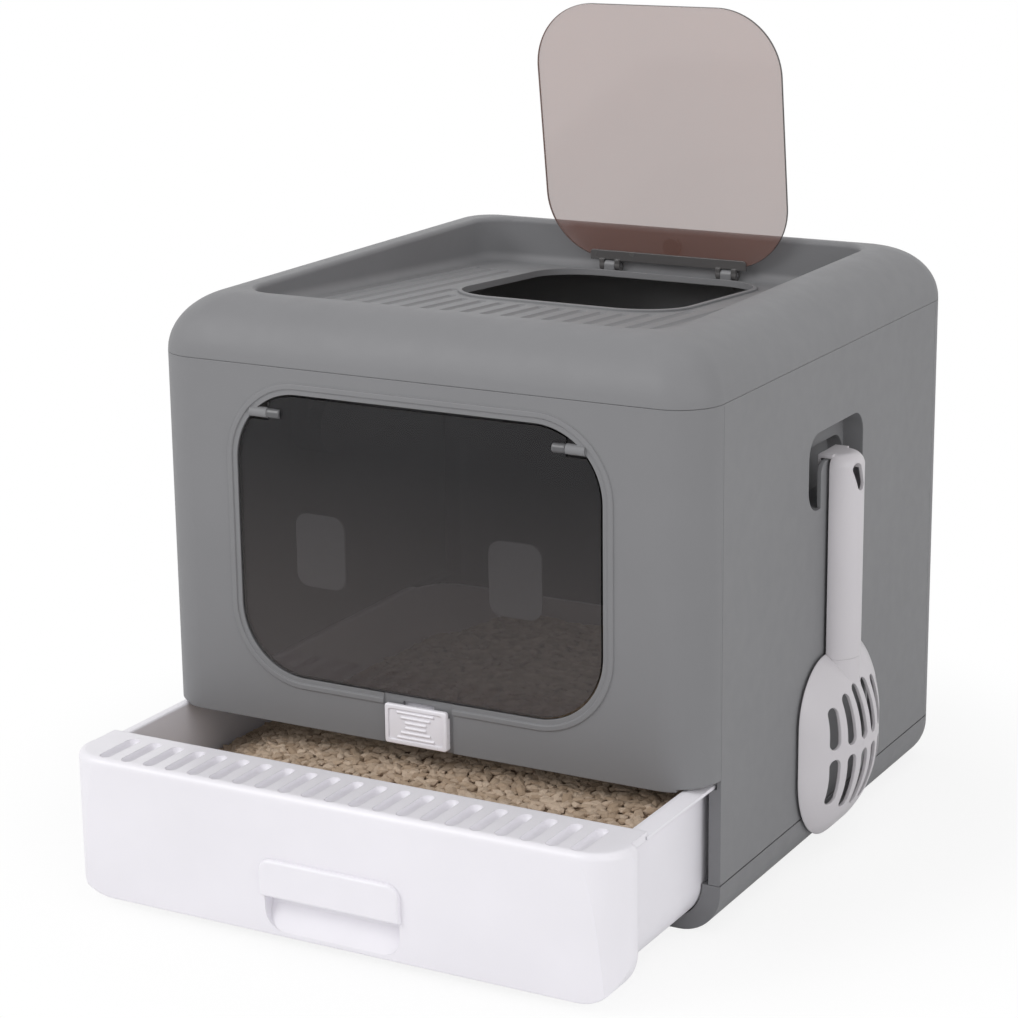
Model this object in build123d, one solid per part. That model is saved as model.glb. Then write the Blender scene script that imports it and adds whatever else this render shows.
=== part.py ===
from build123d import *
import math
import os

# Drawer litter box: a moulded cabin on a low base, with a pull-out pan, a swinging
# front door, a top entry with a hinged lid, and a scoop hung on the right side.
# Millimetres. X is to the right seen from the front, the front faces -Y, Z is up.
# The origin is on the floor, at the centre of the cabin's footprint.
# Rest pose: pan part open, top lid standing open, front door shut, scoop hung up.

# ---------------------------------------------------------------- cabin
BODY_WIDTH = 407.0
BODY_DEPTH = 425.0
CORNER_RADIUS = 31.0
WALL = 3.0
SEAM_GAP = 0.3
BASE_HEIGHT = 34.0
FRONT_SILL = 105.0
SEAM_HEIGHT = 351.0
LAP_THICKNESS = 2.2
LAP_WIDTH = 15.0
LAP_MARGIN = 5.0
SKIRT_DEPTH = 5.0
SHADOW_HEIGHT = 0.9
SHADOW_DEPTH = 1.0
TRIM = 1.0

# ---------------------------------------------------------------- base
BASE_RIM = 13.0
BASE_FLOOR = 6.2
BASE_FLOOR_SKIN = 3.0
BASE_OUTER_ROUND = 29.0
BASE_INNER_ROUND = 27.0
BASE_BAY_CORNER = 30.0
BASE_RIB = 8.0
BASE_POCKET_MARGIN = 38.0
BASE_POCKET_ROWS = 3
TONGUE_THICKNESS = 2.3
TONGUE_DEPTH = 6.0
TONGUE_GAP = 0.2
TONGUE_INSET = 3.7

# ---------------------------------------------------------------- side panels
EDGE_RETURN = 8.5
STRIP_DEPTH = 4.0
LEDGE_THICKNESS = 2.6
GUSSETS_EACH_WAY = 2
GUSSET_SPACING = 72.0
GUSSET_HEIGHT = 10.4
GUSSET_THICKNESS = 2.0
POCKET_WIDTH = 94.0
POCKET_BOTTOM = 247.0
POCKET_TOP = 300.0
POCKET_RADIUS = 16.0
POCKET_DEPTH = 15.0
POCKET_SHELL = 2.4
WELL_TOP = 283.0
WELL_DEPTH = 26.0
TONGUE_TAB_WIDTH = 52.0
TONGUE_TAB_TOP = 278.0
TONGUE_TAB_ROUND = 8.0

# ---------------------------------------------------------------- front door
WINDOW_WIDTH = 272.0
WINDOW_BOTTOM = 139.0
WINDOW_TOP_MARGIN = 17.5
WINDOW_TOP = SEAM_HEIGHT - WINDOW_TOP_MARGIN
WINDOW_RADIUS = 48.0
DOOR_GAP = 1.5
DOOR_THICKNESS = 2.4
DOOR_CROWN = 2.8
DOOR_BEND_ACROSS = 3480.0
DOOR_BEND_UP = 3270.0
BEAD_INSET = 3.5
BEAD_WIDTH = 4.0
BEAD_HEIGHT = 1.0
BEAD_ROUND = 0.8
DOOR_PIN_DROP = 14.2
DOOR_PIN_HEIGHT = WINDOW_TOP - DOOR_PIN_DROP
DOOR_PIN_RADIUS = 1.6
DOOR_PIN_INSET = 25.6
DOOR_PIN_SPAN = WINDOW_WIDTH / 2 - DOOR_PIN_INSET
DOOR_PIN_LENGTH = 18.0
KNUCKLE_RADIUS = 3.5
KNUCKLE_LENGTH = 9.4
KNUCKLE_GAP = 0.4
KNUCKLE_ROOT = 2.0
HUB_CHAMFER = 0.6
RUNNING_GAP = 0.06
PAD_WIDTH = 38.0
PAD_HEIGHT = 50.0
PAD_RADIUS = 9.0
PAD_THICKNESS = 0.8
PAD_GAP = 0.4
PAD_INSET = 63.0
PAD_RISE = 90.0
PAD_SPREAD = WINDOW_WIDTH / 2 - PAD_INSET
PAD_CENTRE = WINDOW_BOTTOM + PAD_RISE

# ---------------------------------------------------------------- door latch
LATCH_WIDTH = 47.0
LATCH_BOTTOM = 106.6
LATCH_TOP = 133.8
LATCH_THICKNESS = 5.0
LATCH_ROUND = 2.0
LATCH_TRAVEL = 10.0
LATCH_NECK_WIDTH = 23.0
LATCH_NECK_HEIGHT = 12.0
LATCH_NECK_BOTTOM = 113.0
LATCH_GAP = 0.2
LATCH_RELIEF = 2.2
PLATE_RELIEF = 0.6
LATCH_RIDGES = 6
LATCH_RIDGE_WIDTH = 1.8
LATCH_RIDGE_HEIGHT = 0.9
LATCH_RIDGE_WAIST = 0.35
LATCH_DISH = 0.7
LATCH_RIM = 3.0
TRACK_DEPTH = 0.8
TRACK_MARGIN = 2.6
BACK_PLATE_WIDTH = 36.0
BACK_PLATE_THICKNESS = 2.4

# ---------------------------------------------------------------- top cover
RIM_HEIGHT = 39.0
TOP_HEIGHT = SEAM_HEIGHT + RIM_HEIGHT
RIM_ROUND = 40.0
RIM_CORNER_EASE = 0.35
RIM_CORNER_LEAST = 12.0
DECK_SIDE_INSET = 46.0
DECK_FRONT_INSET = 44.0
DECK_REAR_INSET = 43.0
DECK_RADIUS = 24.0
DECK_DROP = 13.8
DECK_FRONT_HEIGHT = TOP_HEIGHT - DECK_DROP
DECK_SLOPE_DEG = 3.4
DECK_FOOT_ROUND = 7.0
RIM_INNER_ROUND = 3.4
ENTRY_WIDTH = 174.0
ENTRY_FRONT = -24.0
ENTRY_REAR = 152.0
ENTRY_RADIUS = 38.0
LIP_WIDTH = 3.0
LIP_HEIGHT = 1.8
GROOVE_PITCH = 15.6
GROOVE_WIDTH = 7.5
GROOVE_DEPTH = 1.7
GROOVE_FRONT_MARGIN = 13.0
GROOVE_REAR_MARGIN = 52.0
GROOVE_ENTRY_MARGIN = 11.0

# ---------------------------------------------------------------- top lid
LID_WIDTH = 197.0
LID_LENGTH = 193.5
LID_RADIUS = 49.0
LID_THICKNESS = 2.5
LID_EDGE_ROUND = 0.7
LID_EDGE_OFFSET = 5.2
LID_AXIS_REAR_GAP = 6.5
LID_AXIS_RISE = 4.6
LID_LEAN_DEG = 7.8
LID_BACK_DEG = 12.0
LID_HINGE_SPREAD = 48.0
LID_BRACKET_WIDTH = 8.5
LID_ARM_WIDTH = 3.7
LID_ARM_GAP = 0.3
LID_ARM_RADIUS = 4.1
LID_PIN_RADIUS = 1.6
SEAT_GAP = 0.03
LID_RAIL_WIDTH = 128.0
LID_RAIL_HEIGHT = 6.5
LID_RAIL_THICKNESS = 1.0
LID_RAIL_CORNER = 2.5
LID_RAIL_GAP = 0.05
LID_FOOT_DEPTH = 8.0
BUMPER_RADIUS = 7.0
BUMPER_RISE = 16.0
BUMPER_GAP = 0.3
BUMPER_ROUND = 0.8

# ---------------------------------------------------------------- drawer
DRAWER_OPEN = 63.5
DRAWER_FRONT_GAP = 1.5
TRAY_WALL = 2.4
TRAY_SIDE_GAP = 0.8
TRAY_FLOOR_GAP = 0.3
TRAY_LENGTH = 408.0
TRAY_REAR_RADIUS = 29.0
TRAY_BOTTOM_ROUND = BASE_INNER_ROUND
FLANGE_BOTTOM = 100.0
FLANGE_EDGE = 2.2
FLANGE_REACH = 9.0
TRAY_RIM_TOP = 105.2
TRAY_REAR_TOP = 103.0
TRAY_RIM_CHAMFER = 0.8
STEP_TOP = 105.8
STEP_DEPTH = 50.5
STEP_NECK = 22.0
STEP_SHELL = 2.6
STEP_TOP_SHELL = 6.4
STEP_CORNER = 26.0
STEP_BOTTOM = 6.5
STEP_BOTTOM_ROUND = 30.0
STEP_LEAN = 5.5
STEP_LEAN_START = 6.0
STEP_TOP_ROUND = 5.0
FLUTE_COUNT = 21
FLUTE_PITCH = 17.4
FLUTE_RADIUS = 4.4
FLUTE_DEPTH = 4.2
FLUTE_REAR_MARGIN = 12.5
FLUTE_FRONT_MARGIN = 8.5
GRIP_WIDTH = 104.0
GRIP_BOTTOM = 34.0
GRIP_TOP = 60.0
GRIP_PROUD = 3.6
GRIP_EDGE_ROUND = 2.2
GRIP_ROUND = 9.0
DENT_DEPTH = 13.0
DENT_INSET = 2.0
DENT_BOTTOM = 9.5
DENT_BEND = 26.0
DENT_CORNER = 14.0

# ---------------------------------------------------------------- litter
LITTER_GAP = 0.4
LITTER_HIGH = 95.0
LITTER_LOW = 58.0
LITTER_FALL = 6.0
LITTER_SLOPE_WIDTH = 80.0

# ---------------------------------------------------------------- scoop
SCOOP_CENTRE = 0.0
SCOOP_GAP = 2.1
SCOOP_WALL = 2.4
HANDLE_WIDTH = 35.0
HANDLE_DEPTH = 17.0
HANDLE_BOTTOM = 139.0
HANDLE_TOP_ROUND = 9.0
HOOK_WIDTH = 28.0
HOOK_THICKNESS = 3.0
HOOK_LIP = 4.0
HOOK_LIP_THICKNESS = 1.8
HOOK_BACK_GAP = 2.8
HOOK_SEAT_GAP = 0.3
HOOK_ROUND = 1.5
HEAD_WIDTH = 125.0
HEAD_BOTTOM = 13.0
HEAD_TOP = 143.0
HEAD_TOE_RADIUS = 52.0
HEAD_SHOULDER_RADIUS = 42.0
HEAD_DEPTH = 26.4
HEAD_DOME_POWER = 0.85
NECK_LENGTH = 25.5
SPIGOT_LENGTH = 10.0
SPIGOT_GAP = 0.1
SLOT_COUNT = 6
SLOT_PITCH = 15.6
SLOT_WIDTH = 9.2
SLOT_SPLIT = 80.0
SLOT_BAR = 7.0
SLOT_UPPER = 38.0
SLOT_LOWER = 42.0
SLOT_REACH = 62.0
HANG_SLOT_WIDTH = 8.0
HANG_SLOT_LENGTH = 20.0
HANG_SLOT_TILT = 110.0
HANG_SLOT_SHIFT = 4.0
HANG_SLOT_DROP = 15.5

# ---------------------------------------------------------------- worked out
half_w = BODY_WIDTH / 2
half_d = BODY_DEPTH / 2
corner_y = half_d - CORNER_RADIUS
rim_x = half_w - BASE_RIM
panel_bottom = BASE_HEIGHT + SEAM_GAP
panel_top = SEAM_HEIGHT - SEAM_GAP
ledge_top = FLANGE_BOTTOM - SEAM_GAP
drawer_inner_front = -half_d - DRAWER_FRONT_GAP - DRAWER_OPEN
scoop_plane = half_w + SCOOP_GAP

os.makedirs("parts", exist_ok=True)


# ---------------------------------------------------------------- helpers
def block(x0, x1, y0, y1, z0, z1):
    """A box given by its six faces."""
    return Pos((x0 + x1) / 2, (y0 + y1) / 2, (z0 + z1) / 2) * Box(x1 - x0, y1 - y0, z1 - z0)


def plan_prism(half_x, y0, y1, radius, z0, z1):
    """An upright prism with a rounded rectangular plan."""
    plan = Pos(0, (y0 + y1) / 2) * RectangleRounded(2 * half_x, y1 - y0, radius)
    return Pos(0, 0, z0) * extrude(plan, z1 - z0)


def front_prism(shape, y0, y1):
    """A sketch drawn as seen from the front, extruded from y1 forward to y0."""
    return extrude(Plane.XZ.offset(-y1) * shape, y1 - y0)


def side_prism(shape, x0, x1):
    """A sketch drawn in Y and Z, extruded from x0 to x1."""
    return extrude(Plane.YZ.offset(x0) * shape, x1 - x0)


def window_shape(margin):
    """The doorway's rounded outline, grown outwards by margin."""
    height = WINDOW_TOP - WINDOW_BOTTOM
    centre = (WINDOW_TOP + WINDOW_BOTTOM) / 2
    outline = RectangleRounded(WINDOW_WIDTH + 2 * margin, height + 2 * margin, WINDOW_RADIUS + margin)
    return Pos(0, centre) * outline


def lowest_edges(shape, level, skip_y=None):
    """Edges of a shape lying at a level, leaving out the straight one across skip_y."""
    found = ShapeList()
    for edge in shape.edges():
        box = edge.bounding_box()
        level_edge = abs(box.min.Z - level) < 0.01 and abs(box.max.Z - level) < 0.01
        skipped = skip_y is not None and abs(box.min.Y - skip_y) < 0.01 and abs(box.max.Y - skip_y) < 0.01
        if level_edge and not skipped:
            found.append(edge)
    return found


def scooped_bar(reach, radius, depth):
    """A bar along Y with round ends, sunk below level zero by its depth: one scooped groove."""
    z = radius - depth
    bar = Pos(0, 0, z) * Rot(90, 0, 0) * Cylinder(radius, 2 * reach)
    return bar + Pos(0, -reach, z) * Sphere(radius) + Pos(0, reach, z) * Sphere(radius)


def save(shape, name):
    """Write one sub-part."""
    export_step(shape, f"parts/{name}.step")


def deck_level(y):
    """Height of the sloping deck at a place from front to back."""
    return DECK_FRONT_HEIGHT - (y + half_d - DECK_FRONT_INSET) * math.tan(math.radians(DECK_SLOPE_DEG))


def shadow_line():
    """A shallow step round the walls' lower edge, which makes the seam over the base a line."""
    ring = plan_prism(half_w + TRIM, -half_d - TRIM, half_d + TRIM, CORNER_RADIUS + TRIM,
                      panel_bottom - TRIM, panel_bottom + SHADOW_HEIGHT)
    core_x = half_w - SHADOW_DEPTH
    core_y = half_d - SHADOW_DEPTH
    return ring - plan_prism(core_x, -core_y, core_y, CORNER_RADIUS - SHADOW_DEPTH, 0, SEAM_HEIGHT)


# ---------------------------------------------------------------- base
def make_base():
    """Low moulded base: rounded outside, flat inside, open at the front, ribbed below."""
    full = plan_prism(half_w, -half_d, half_d, CORNER_RADIUS, 0, BASE_HEIGHT)
    body = full - block(-BODY_WIDTH, BODY_WIDTH, -BODY_DEPTH, -corner_y, -1, BASE_HEIGHT + 1)
    body = fillet(lowest_edges(body, 0, -corner_y), BASE_OUTER_ROUND)
    bay = plan_prism(rim_x, -BODY_DEPTH, half_d - BASE_RIM, BASE_BAY_CORNER, BASE_FLOOR, 2 * BASE_HEIGHT)
    bay = fillet(lowest_edges(bay, BASE_FLOOR), BASE_INNER_ROUND)
    body -= bay
    pocket_x = half_w - BASE_POCKET_MARGIN
    front = -corner_y + BASE_RIB
    rear = half_d - BASE_POCKET_MARGIN
    row = (rear - front + BASE_RIB) / BASE_POCKET_ROWS
    for index in range(BASE_POCKET_ROWS):
        y0 = front + index * row
        y1 = y0 + row - BASE_RIB
        for x0, x1 in ((-pocket_x, -BASE_RIB / 2), (BASE_RIB / 2, pocket_x)):
            body -= block(x0, x1, y0, y1, -1, BASE_FLOOR - BASE_FLOOR_SKIN)
    groove = TONGUE_THICKNESS + 2 * TONGUE_GAP
    x1 = half_w - TONGUE_INSET + TONGUE_GAP
    z0 = BASE_HEIGHT - TONGUE_DEPTH - TONGUE_GAP
    run = corner_y - LAP_WIDTH
    for side in (-1, 1):
        cut = block(x1 - groove, x1, -run, run, z0, BASE_HEIGHT + 1)
        body -= cut if side > 0 else mirror(cut, Plane.YZ)
    y1 = half_d - TONGUE_INSET + TONGUE_GAP
    body -= block(-run, run, y1 - groove, y1, z0, BASE_HEIGHT + 1)
    return body


# ---------------------------------------------------------------- side panels
def pocket_shape(margin, top):
    """The hand pocket's outline in Y and Z, grown by margin and cut off at top."""
    height = top - POCKET_BOTTOM
    radius = min(POCKET_RADIUS, height / 2 - 0.5)
    outline = RectangleRounded(POCKET_WIDTH + 2 * margin, height + 2 * margin, radius + margin)
    return Pos(0, (top + POCKET_BOTTOM) / 2) * outline


def make_side_panel():
    """Right side panel with its hand pocket, tongue tab, front strip and drawer ledge."""
    inner = half_w - WALL
    y_end = corner_y - SEAM_GAP / 2
    panel = block(inner, half_w, -y_end, y_end, panel_bottom, panel_top)
    edge_x = half_w - EDGE_RETURN
    panel += block(edge_x, half_w, -y_end, -y_end + STRIP_DEPTH, panel_bottom, ledge_top)
    y_lap = corner_y - LAP_WIDTH - SEAM_GAP
    panel += block(edge_x, half_w, -y_end, y_lap, panel_bottom, panel_bottom + WALL)
    panel += block(rim_x + TRAY_SIDE_GAP, half_w, -y_end, y_lap, ledge_top - LEDGE_THICKNESS, ledge_top)
    gusset_half = GUSSET_THICKNESS / 2
    for gusset in range(-GUSSETS_EACH_WAY, GUSSETS_EACH_WAY + 1):
        y = gusset * GUSSET_SPACING
        panel += block(rim_x + TRAY_SIDE_GAP, half_w, y - gusset_half, y + gusset_half, ledge_top - GUSSET_HEIGHT, ledge_top)
    tongue_x = half_w - TONGUE_INSET
    run = corner_y - LAP_WIDTH - TONGUE_GAP
    panel += block(tongue_x - TONGUE_THICKNESS, tongue_x, -run, run, BASE_HEIGHT - TONGUE_DEPTH, panel_bottom + WALL)
    panel += side_prism(pocket_shape(POCKET_SHELL, POCKET_TOP), half_w - POCKET_DEPTH - POCKET_SHELL, half_w)
    panel += side_prism(pocket_shape(POCKET_SHELL, WELL_TOP), half_w - WELL_DEPTH - POCKET_SHELL, half_w)
    panel -= side_prism(pocket_shape(0, POCKET_TOP), half_w - POCKET_DEPTH, half_w + 1)
    panel -= side_prism(pocket_shape(0, WELL_TOP), half_w - WELL_DEPTH, half_w + 1)
    tab_height = TONGUE_TAB_TOP - POCKET_BOTTOM + WALL
    tab = Pos(0, TONGUE_TAB_TOP - tab_height / 2) * Rectangle(TONGUE_TAB_WIDTH, tab_height)
    tab = fillet(tab.vertices().group_by(Axis.Y)[-1], TONGUE_TAB_ROUND)
    panel += side_prism(tab, inner, half_w)
    return panel - shadow_line()


# ---------------------------------------------------------------- front and rear panels
def wrap_wall(z0, z1):
    """The rounded end wall at the front: flat face, two corners and the laps behind the seams."""
    outer = plan_prism(half_w, -half_d, half_d, CORNER_RADIUS, z0, z1)
    inner = plan_prism(half_w - WALL, -half_d + WALL, half_d - WALL, CORNER_RADIUS - WALL, z0 - 1, z1 + 1)
    wall = outer - inner
    wall -= block(-BODY_WIDTH, BODY_WIDTH, -corner_y - SEAM_GAP / 2, BODY_DEPTH, z0 - 1, z1 + 1)
    lap_out = half_w - WALL - SEAM_GAP
    lap_z0 = z0 + SEAM_GAP
    lap_z1 = panel_top - SKIRT_DEPTH - SEAM_GAP
    for side in (-1, 1):
        lap = block(lap_out - LAP_THICKNESS, lap_out, -corner_y - LAP_MARGIN, -corner_y + LAP_WIDTH, lap_z0, lap_z1)
        root = block(lap_out - LAP_THICKNESS, half_w - 1, -corner_y - LAP_MARGIN, -corner_y - 1, lap_z0, lap_z1)
        lap += root
        wall += lap if side > 0 else mirror(lap, Plane.YZ)
    return wall


def bead_ring(y_face):
    """Raised rounded bead round the doorway on the panel's outer face."""
    ring = front_prism(window_shape(BEAD_INSET + BEAD_WIDTH), y_face - BEAD_HEIGHT, y_face + 0.5)
    ring -= front_prism(window_shape(BEAD_INSET), y_face - BEAD_HEIGHT - 1, y_face + 1)
    crest = ShapeList()
    for edge in ring.edges():
        box = edge.bounding_box()
        if abs(box.min.Y - (y_face - BEAD_HEIGHT)) < 0.01 and abs(box.max.Y - (y_face - BEAD_HEIGHT)) < 0.01:
            crest.append(edge)
    return fillet(crest, BEAD_ROUND)


def door_shell(front_offset, thickness, shape):
    """A slice of the door's double-curved sheet, cut to an outline seen from the front.

    front_offset is how far behind the door's outer face the slice starts."""
    crown_y = door_edge_y - DOOR_CROWN
    centre_z = (WINDOW_TOP + WINDOW_BOTTOM) / 2
    reach = WINDOW_TOP - WINDOW_BOTTOM
    slices = []
    for offset in (front_offset, front_offset + thickness):
        radius = DOOR_BEND_UP - offset
        rise = math.asin(reach / radius / 1.6)
        mid = (crown_y + offset, centre_z)
        sag = radius * (1 - math.cos(rise))
        high = (crown_y + offset + sag, centre_z + radius * math.sin(rise))
        low = (crown_y + offset + sag, centre_z - radius * math.sin(rise))
        slices.append((low, mid, high))
    outer, inner = slices
    edges = [ThreePointArc(*outer), Line(outer[2], inner[2]), ThreePointArc(*inner), Line(inner[0], outer[0])]
    section = Plane.YZ * make_face(edges)
    axis = Axis((0, crown_y + DOOR_BEND_ACROSS, 0), (0, 0, 1))
    sweep_deg = math.degrees(WINDOW_WIDTH / DOOR_BEND_ACROSS)
    sheet = revolve(section.rotate(axis, -sweep_deg / 2), axis, sweep_deg)
    cutter = front_prism(shape, crown_y - 10, crown_y + 40)
    return sheet & cutter


door_edge_y = -half_d + SEAM_GAP
door_axis_y = (door_edge_y - DOOR_CROWN + DOOR_THICKNESS / 2
               + DOOR_PIN_SPAN**2 / (2 * DOOR_BEND_ACROSS)
               + (DOOR_PIN_HEIGHT - (WINDOW_TOP + WINDOW_BOTTOM) / 2) ** 2 / (2 * DOOR_BEND_UP))


def pin_at(x0, x1, radius, y, z):
    """A round bar along X."""
    return Pos((x0 + x1) / 2, y, z) * Rot(0, 90, 0) * Cylinder(radius, x1 - x0)


def make_front_panel():
    """Front panel with the doorway, its bead, the door knuckles and the latch track."""
    panel = wrap_wall(FRONT_SILL, panel_top)
    notch_x = rim_x - TRAY_WALL - 2 * TRAY_SIDE_GAP - 1
    for side in (-1, 1):
        notch = block(notch_x, half_w + 1, -BODY_DEPTH, 0, FRONT_SILL - 1, TRAY_RIM_TOP + 1.6)
        panel -= notch if side > 0 else mirror(notch, Plane.YZ)
    panel += bead_ring(-half_d)
    panel -= front_prism(window_shape(0), -BODY_DEPTH, -half_d + 3 * WALL)
    knuckle_end = WINDOW_WIDTH / 2 - WINDOW_RADIUS
    knuckle_end += math.sqrt(WINDOW_RADIUS**2 - (DOOR_PIN_HEIGHT - WINDOW_TOP + WINDOW_RADIUS) ** 2)
    bore = DOOR_PIN_RADIUS + RUNNING_GAP / 3
    for side in (-1, 1):
        start = DOOR_PIN_SPAN + KNUCKLE_GAP / 2
        knuckle = pin_at(start, knuckle_end + KNUCKLE_ROOT, KNUCKLE_RADIUS, door_axis_y, DOOR_PIN_HEIGHT)
        hole = pin_at(start - 1, DOOR_PIN_SPAN + DOOR_PIN_LENGTH / 2 + 0.2, bore, door_axis_y, DOOR_PIN_HEIGHT)
        if side < 0:
            knuckle = mirror(knuckle, Plane.YZ)
            hole = mirror(hole, Plane.YZ)
        panel += knuckle
        panel -= hole
    track_x = LATCH_WIDTH / 2 + TRACK_MARGIN
    track_top = WINDOW_BOTTOM + WALL
    panel -= block(-track_x, track_x, -half_d - BEAD_HEIGHT - 1, -half_d, FRONT_SILL - 1, track_top)
    panel -= block(-track_x, track_x, -half_d - 1, -half_d + TRACK_DEPTH, FRONT_SILL - 1, track_top)
    slot_x = LATCH_NECK_WIDTH / 2 + LATCH_GAP
    slot_top = LATCH_NECK_BOTTOM + LATCH_NECK_HEIGHT + LATCH_TRAVEL + LATCH_GAP
    panel -= block(-slot_x, slot_x, -half_d - 1, -half_d + 2 * WALL, LATCH_NECK_BOTTOM - LATCH_GAP, slot_top)
    return panel


def make_rear_panel():
    """Rear panel: the same wrapped wall to the base, with a stiffening bead frame."""
    panel = wrap_wall(panel_bottom, panel_top)
    frame_z = (panel_bottom + panel_top) / 2
    frame_w = BODY_WIDTH - 4 * CORNER_RADIUS
    frame_h = panel_top - panel_bottom - 2.4 * CORNER_RADIUS
    outer = Pos(0, frame_z) * RectangleRounded(frame_w, frame_h, CORNER_RADIUS)
    inner = Pos(0, frame_z) * RectangleRounded(frame_w - 2 * BEAD_WIDTH, frame_h - 2 * BEAD_WIDTH, CORNER_RADIUS - BEAD_WIDTH)
    panel += front_prism(outer, -half_d - BEAD_HEIGHT, -half_d + 0.5) - front_prism(inner, -half_d - BEAD_HEIGHT - 1, -half_d + 1)
    tongue_y = -half_d + TONGUE_INSET
    run = corner_y - LAP_WIDTH - TONGUE_GAP
    panel += block(-run, run, -half_d + WALL - 0.5, tongue_y + TONGUE_THICKNESS, panel_bottom, panel_bottom + WALL)
    panel += block(-run, run, tongue_y, tongue_y + TONGUE_THICKNESS, BASE_HEIGHT - TONGUE_DEPTH, panel_bottom + WALL)
    return mirror(panel - shadow_line(), Plane.XZ)


# ---------------------------------------------------------------- front door and latch
def make_door():
    """Smoked door sheet, cut away at the fixed knuckles and round the hubs."""
    door = door_shell(0, DOOR_THICKNESS, window_shape(-DOOR_GAP))
    clear = KNUCKLE_RADIUS + DOOR_GAP
    for side in (-1, 1):
        corner = block(DOOR_PIN_SPAN, half_w, -BODY_DEPTH, 0, DOOR_PIN_HEIGHT - clear, WINDOW_TOP + 5)
        hub = pin_at(DOOR_PIN_SPAN - KNUCKLE_LENGTH - KNUCKLE_GAP, half_w, KNUCKLE_RADIUS + 0.02, door_axis_y, DOOR_PIN_HEIGHT)
        door -= corner if side > 0 else mirror(corner, Plane.YZ)
        door -= hub if side > 0 else mirror(hub, Plane.YZ)
    return door


def make_door_hub():
    """Right-hand hub that carries the door on its pin."""
    end = DOOR_PIN_SPAN - KNUCKLE_GAP / 2
    start = end - KNUCKLE_LENGTH
    hub = pin_at(start, end, KNUCKLE_RADIUS, door_axis_y, DOOR_PIN_HEIGHT)
    hub = chamfer(hub.edges().group_by(Axis.X)[0], HUB_CHAMFER)
    hole = pin_at(DOOR_PIN_SPAN - DOOR_PIN_LENGTH / 2 - 0.2, end + 1, DOOR_PIN_RADIUS + RUNNING_GAP, door_axis_y, DOOR_PIN_HEIGHT)
    return hub - hole


def make_door_pins():
    """The two door pins, one pair of identical solids."""
    pin = pin_at(DOOR_PIN_SPAN - DOOR_PIN_LENGTH / 2, DOOR_PIN_SPAN + DOOR_PIN_LENGTH / 2, DOOR_PIN_RADIUS, door_axis_y, DOOR_PIN_HEIGHT)
    return Compound(children=[pin, mirror(pin, Plane.YZ)])


def make_door_pads():
    """Two thin rounded pads bonded to the door's inner face."""
    pads = []
    for side in (-1, 1):
        shape = Pos(side * PAD_SPREAD, PAD_CENTRE) * RectangleRounded(PAD_WIDTH, PAD_HEIGHT, PAD_RADIUS)
        pads.append(door_shell(DOOR_THICKNESS + PAD_GAP, PAD_THICKNESS, shape))
    return Compound(children=pads)


def make_latch():
    """Latch button with its cross ridges and the neck through the panel."""
    y_back = -half_d + TRACK_DEPTH - LATCH_GAP
    y_front = y_back - LATCH_THICKNESS
    half = LATCH_WIDTH / 2
    button = block(-half, half, y_front, y_back, LATCH_BOTTOM, LATCH_TOP)
    button = fillet(button.edges().filter_by(Axis.Y), LATCH_ROUND)
    button = fillet(button.faces().sort_by(Axis.Y)[0].edges(), LATCH_ROUND / 2)
    dish_floor = y_front + LATCH_DISH
    dish = RectangleRounded(LATCH_WIDTH - 2 * LATCH_RIM, LATCH_TOP - LATCH_BOTTOM - 2 * LATCH_RIM, LATCH_ROUND)
    button -= front_prism(Pos(0, (LATCH_TOP + LATCH_BOTTOM) / 2) * dish, y_front - TRIM, dish_floor)
    button -= block(-half - 1, half + 1, y_back - LATCH_RELIEF, y_back + 1, LATCH_TOP - LATCH_TRAVEL / 2, LATCH_TOP + 1)
    middle = (LATCH_TOP + LATCH_BOTTOM) / 2
    step = (LATCH_TOP - LATCH_BOTTOM - 2 * LATCH_RIM - 2 * LATCH_ROUND) / (LATCH_RIDGES - 1)
    for index in range(LATCH_RIDGES):
        z = middle + (index - (LATCH_RIDGES - 1) / 2) * step
        away = abs(z - middle) / (LATCH_TOP - middle)
        reach = (half - LATCH_RIM - LATCH_ROUND) * (LATCH_RIDGE_WAIST + (1 - LATCH_RIDGE_WAIST) * away)
        ridge = Pos(0, dish_floor, z) * Rot(0, 90, 0) * Cylinder(LATCH_RIDGE_WIDTH / 2, 2 * reach)
        crest = dish_floor - LATCH_RIDGE_HEIGHT
        button += ridge & block(-half, half, crest, y_back, z - LATCH_RIDGE_WIDTH, z + LATCH_RIDGE_WIDTH)
    neck_x = LATCH_NECK_WIDTH / 2
    neck_rear = -half_d + WALL + LATCH_GAP
    button += block(-neck_x, neck_x, y_back - 1, neck_rear, LATCH_NECK_BOTTOM, LATCH_NECK_BOTTOM + LATCH_NECK_HEIGHT)
    return button


def make_back_plate():
    """Plate that holds the latch from behind and stands up behind the door when raised."""
    y_front = -half_d + WALL + LATCH_GAP
    half = BACK_PLATE_WIDTH / 2
    plate = block(-half, half, y_front, y_front + BACK_PLATE_THICKNESS, LATCH_BOTTOM + 1, LATCH_TOP + 1)
    plate = fillet(plate.edges().filter_by(Axis.Y), LATCH_ROUND)
    plate -= block(-half - 1, half + 1, y_front - 1, y_front + PLATE_RELIEF, LATCH_TOP - LATCH_TRAVEL / 2, LATCH_TOP + 2)
    return plate


# ---------------------------------------------------------------- top cover
def rim_section(level, inset):
    """Plan outline of the cover's outer surface at a level, drawn in by inset."""
    radius = max(CORNER_RADIUS - RIM_CORNER_EASE * inset, RIM_CORNER_LEAST)
    return Pos(0, 0, level) * RectangleRounded(BODY_WIDTH - 2 * inset, BODY_DEPTH - 2 * inset, radius)


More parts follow.
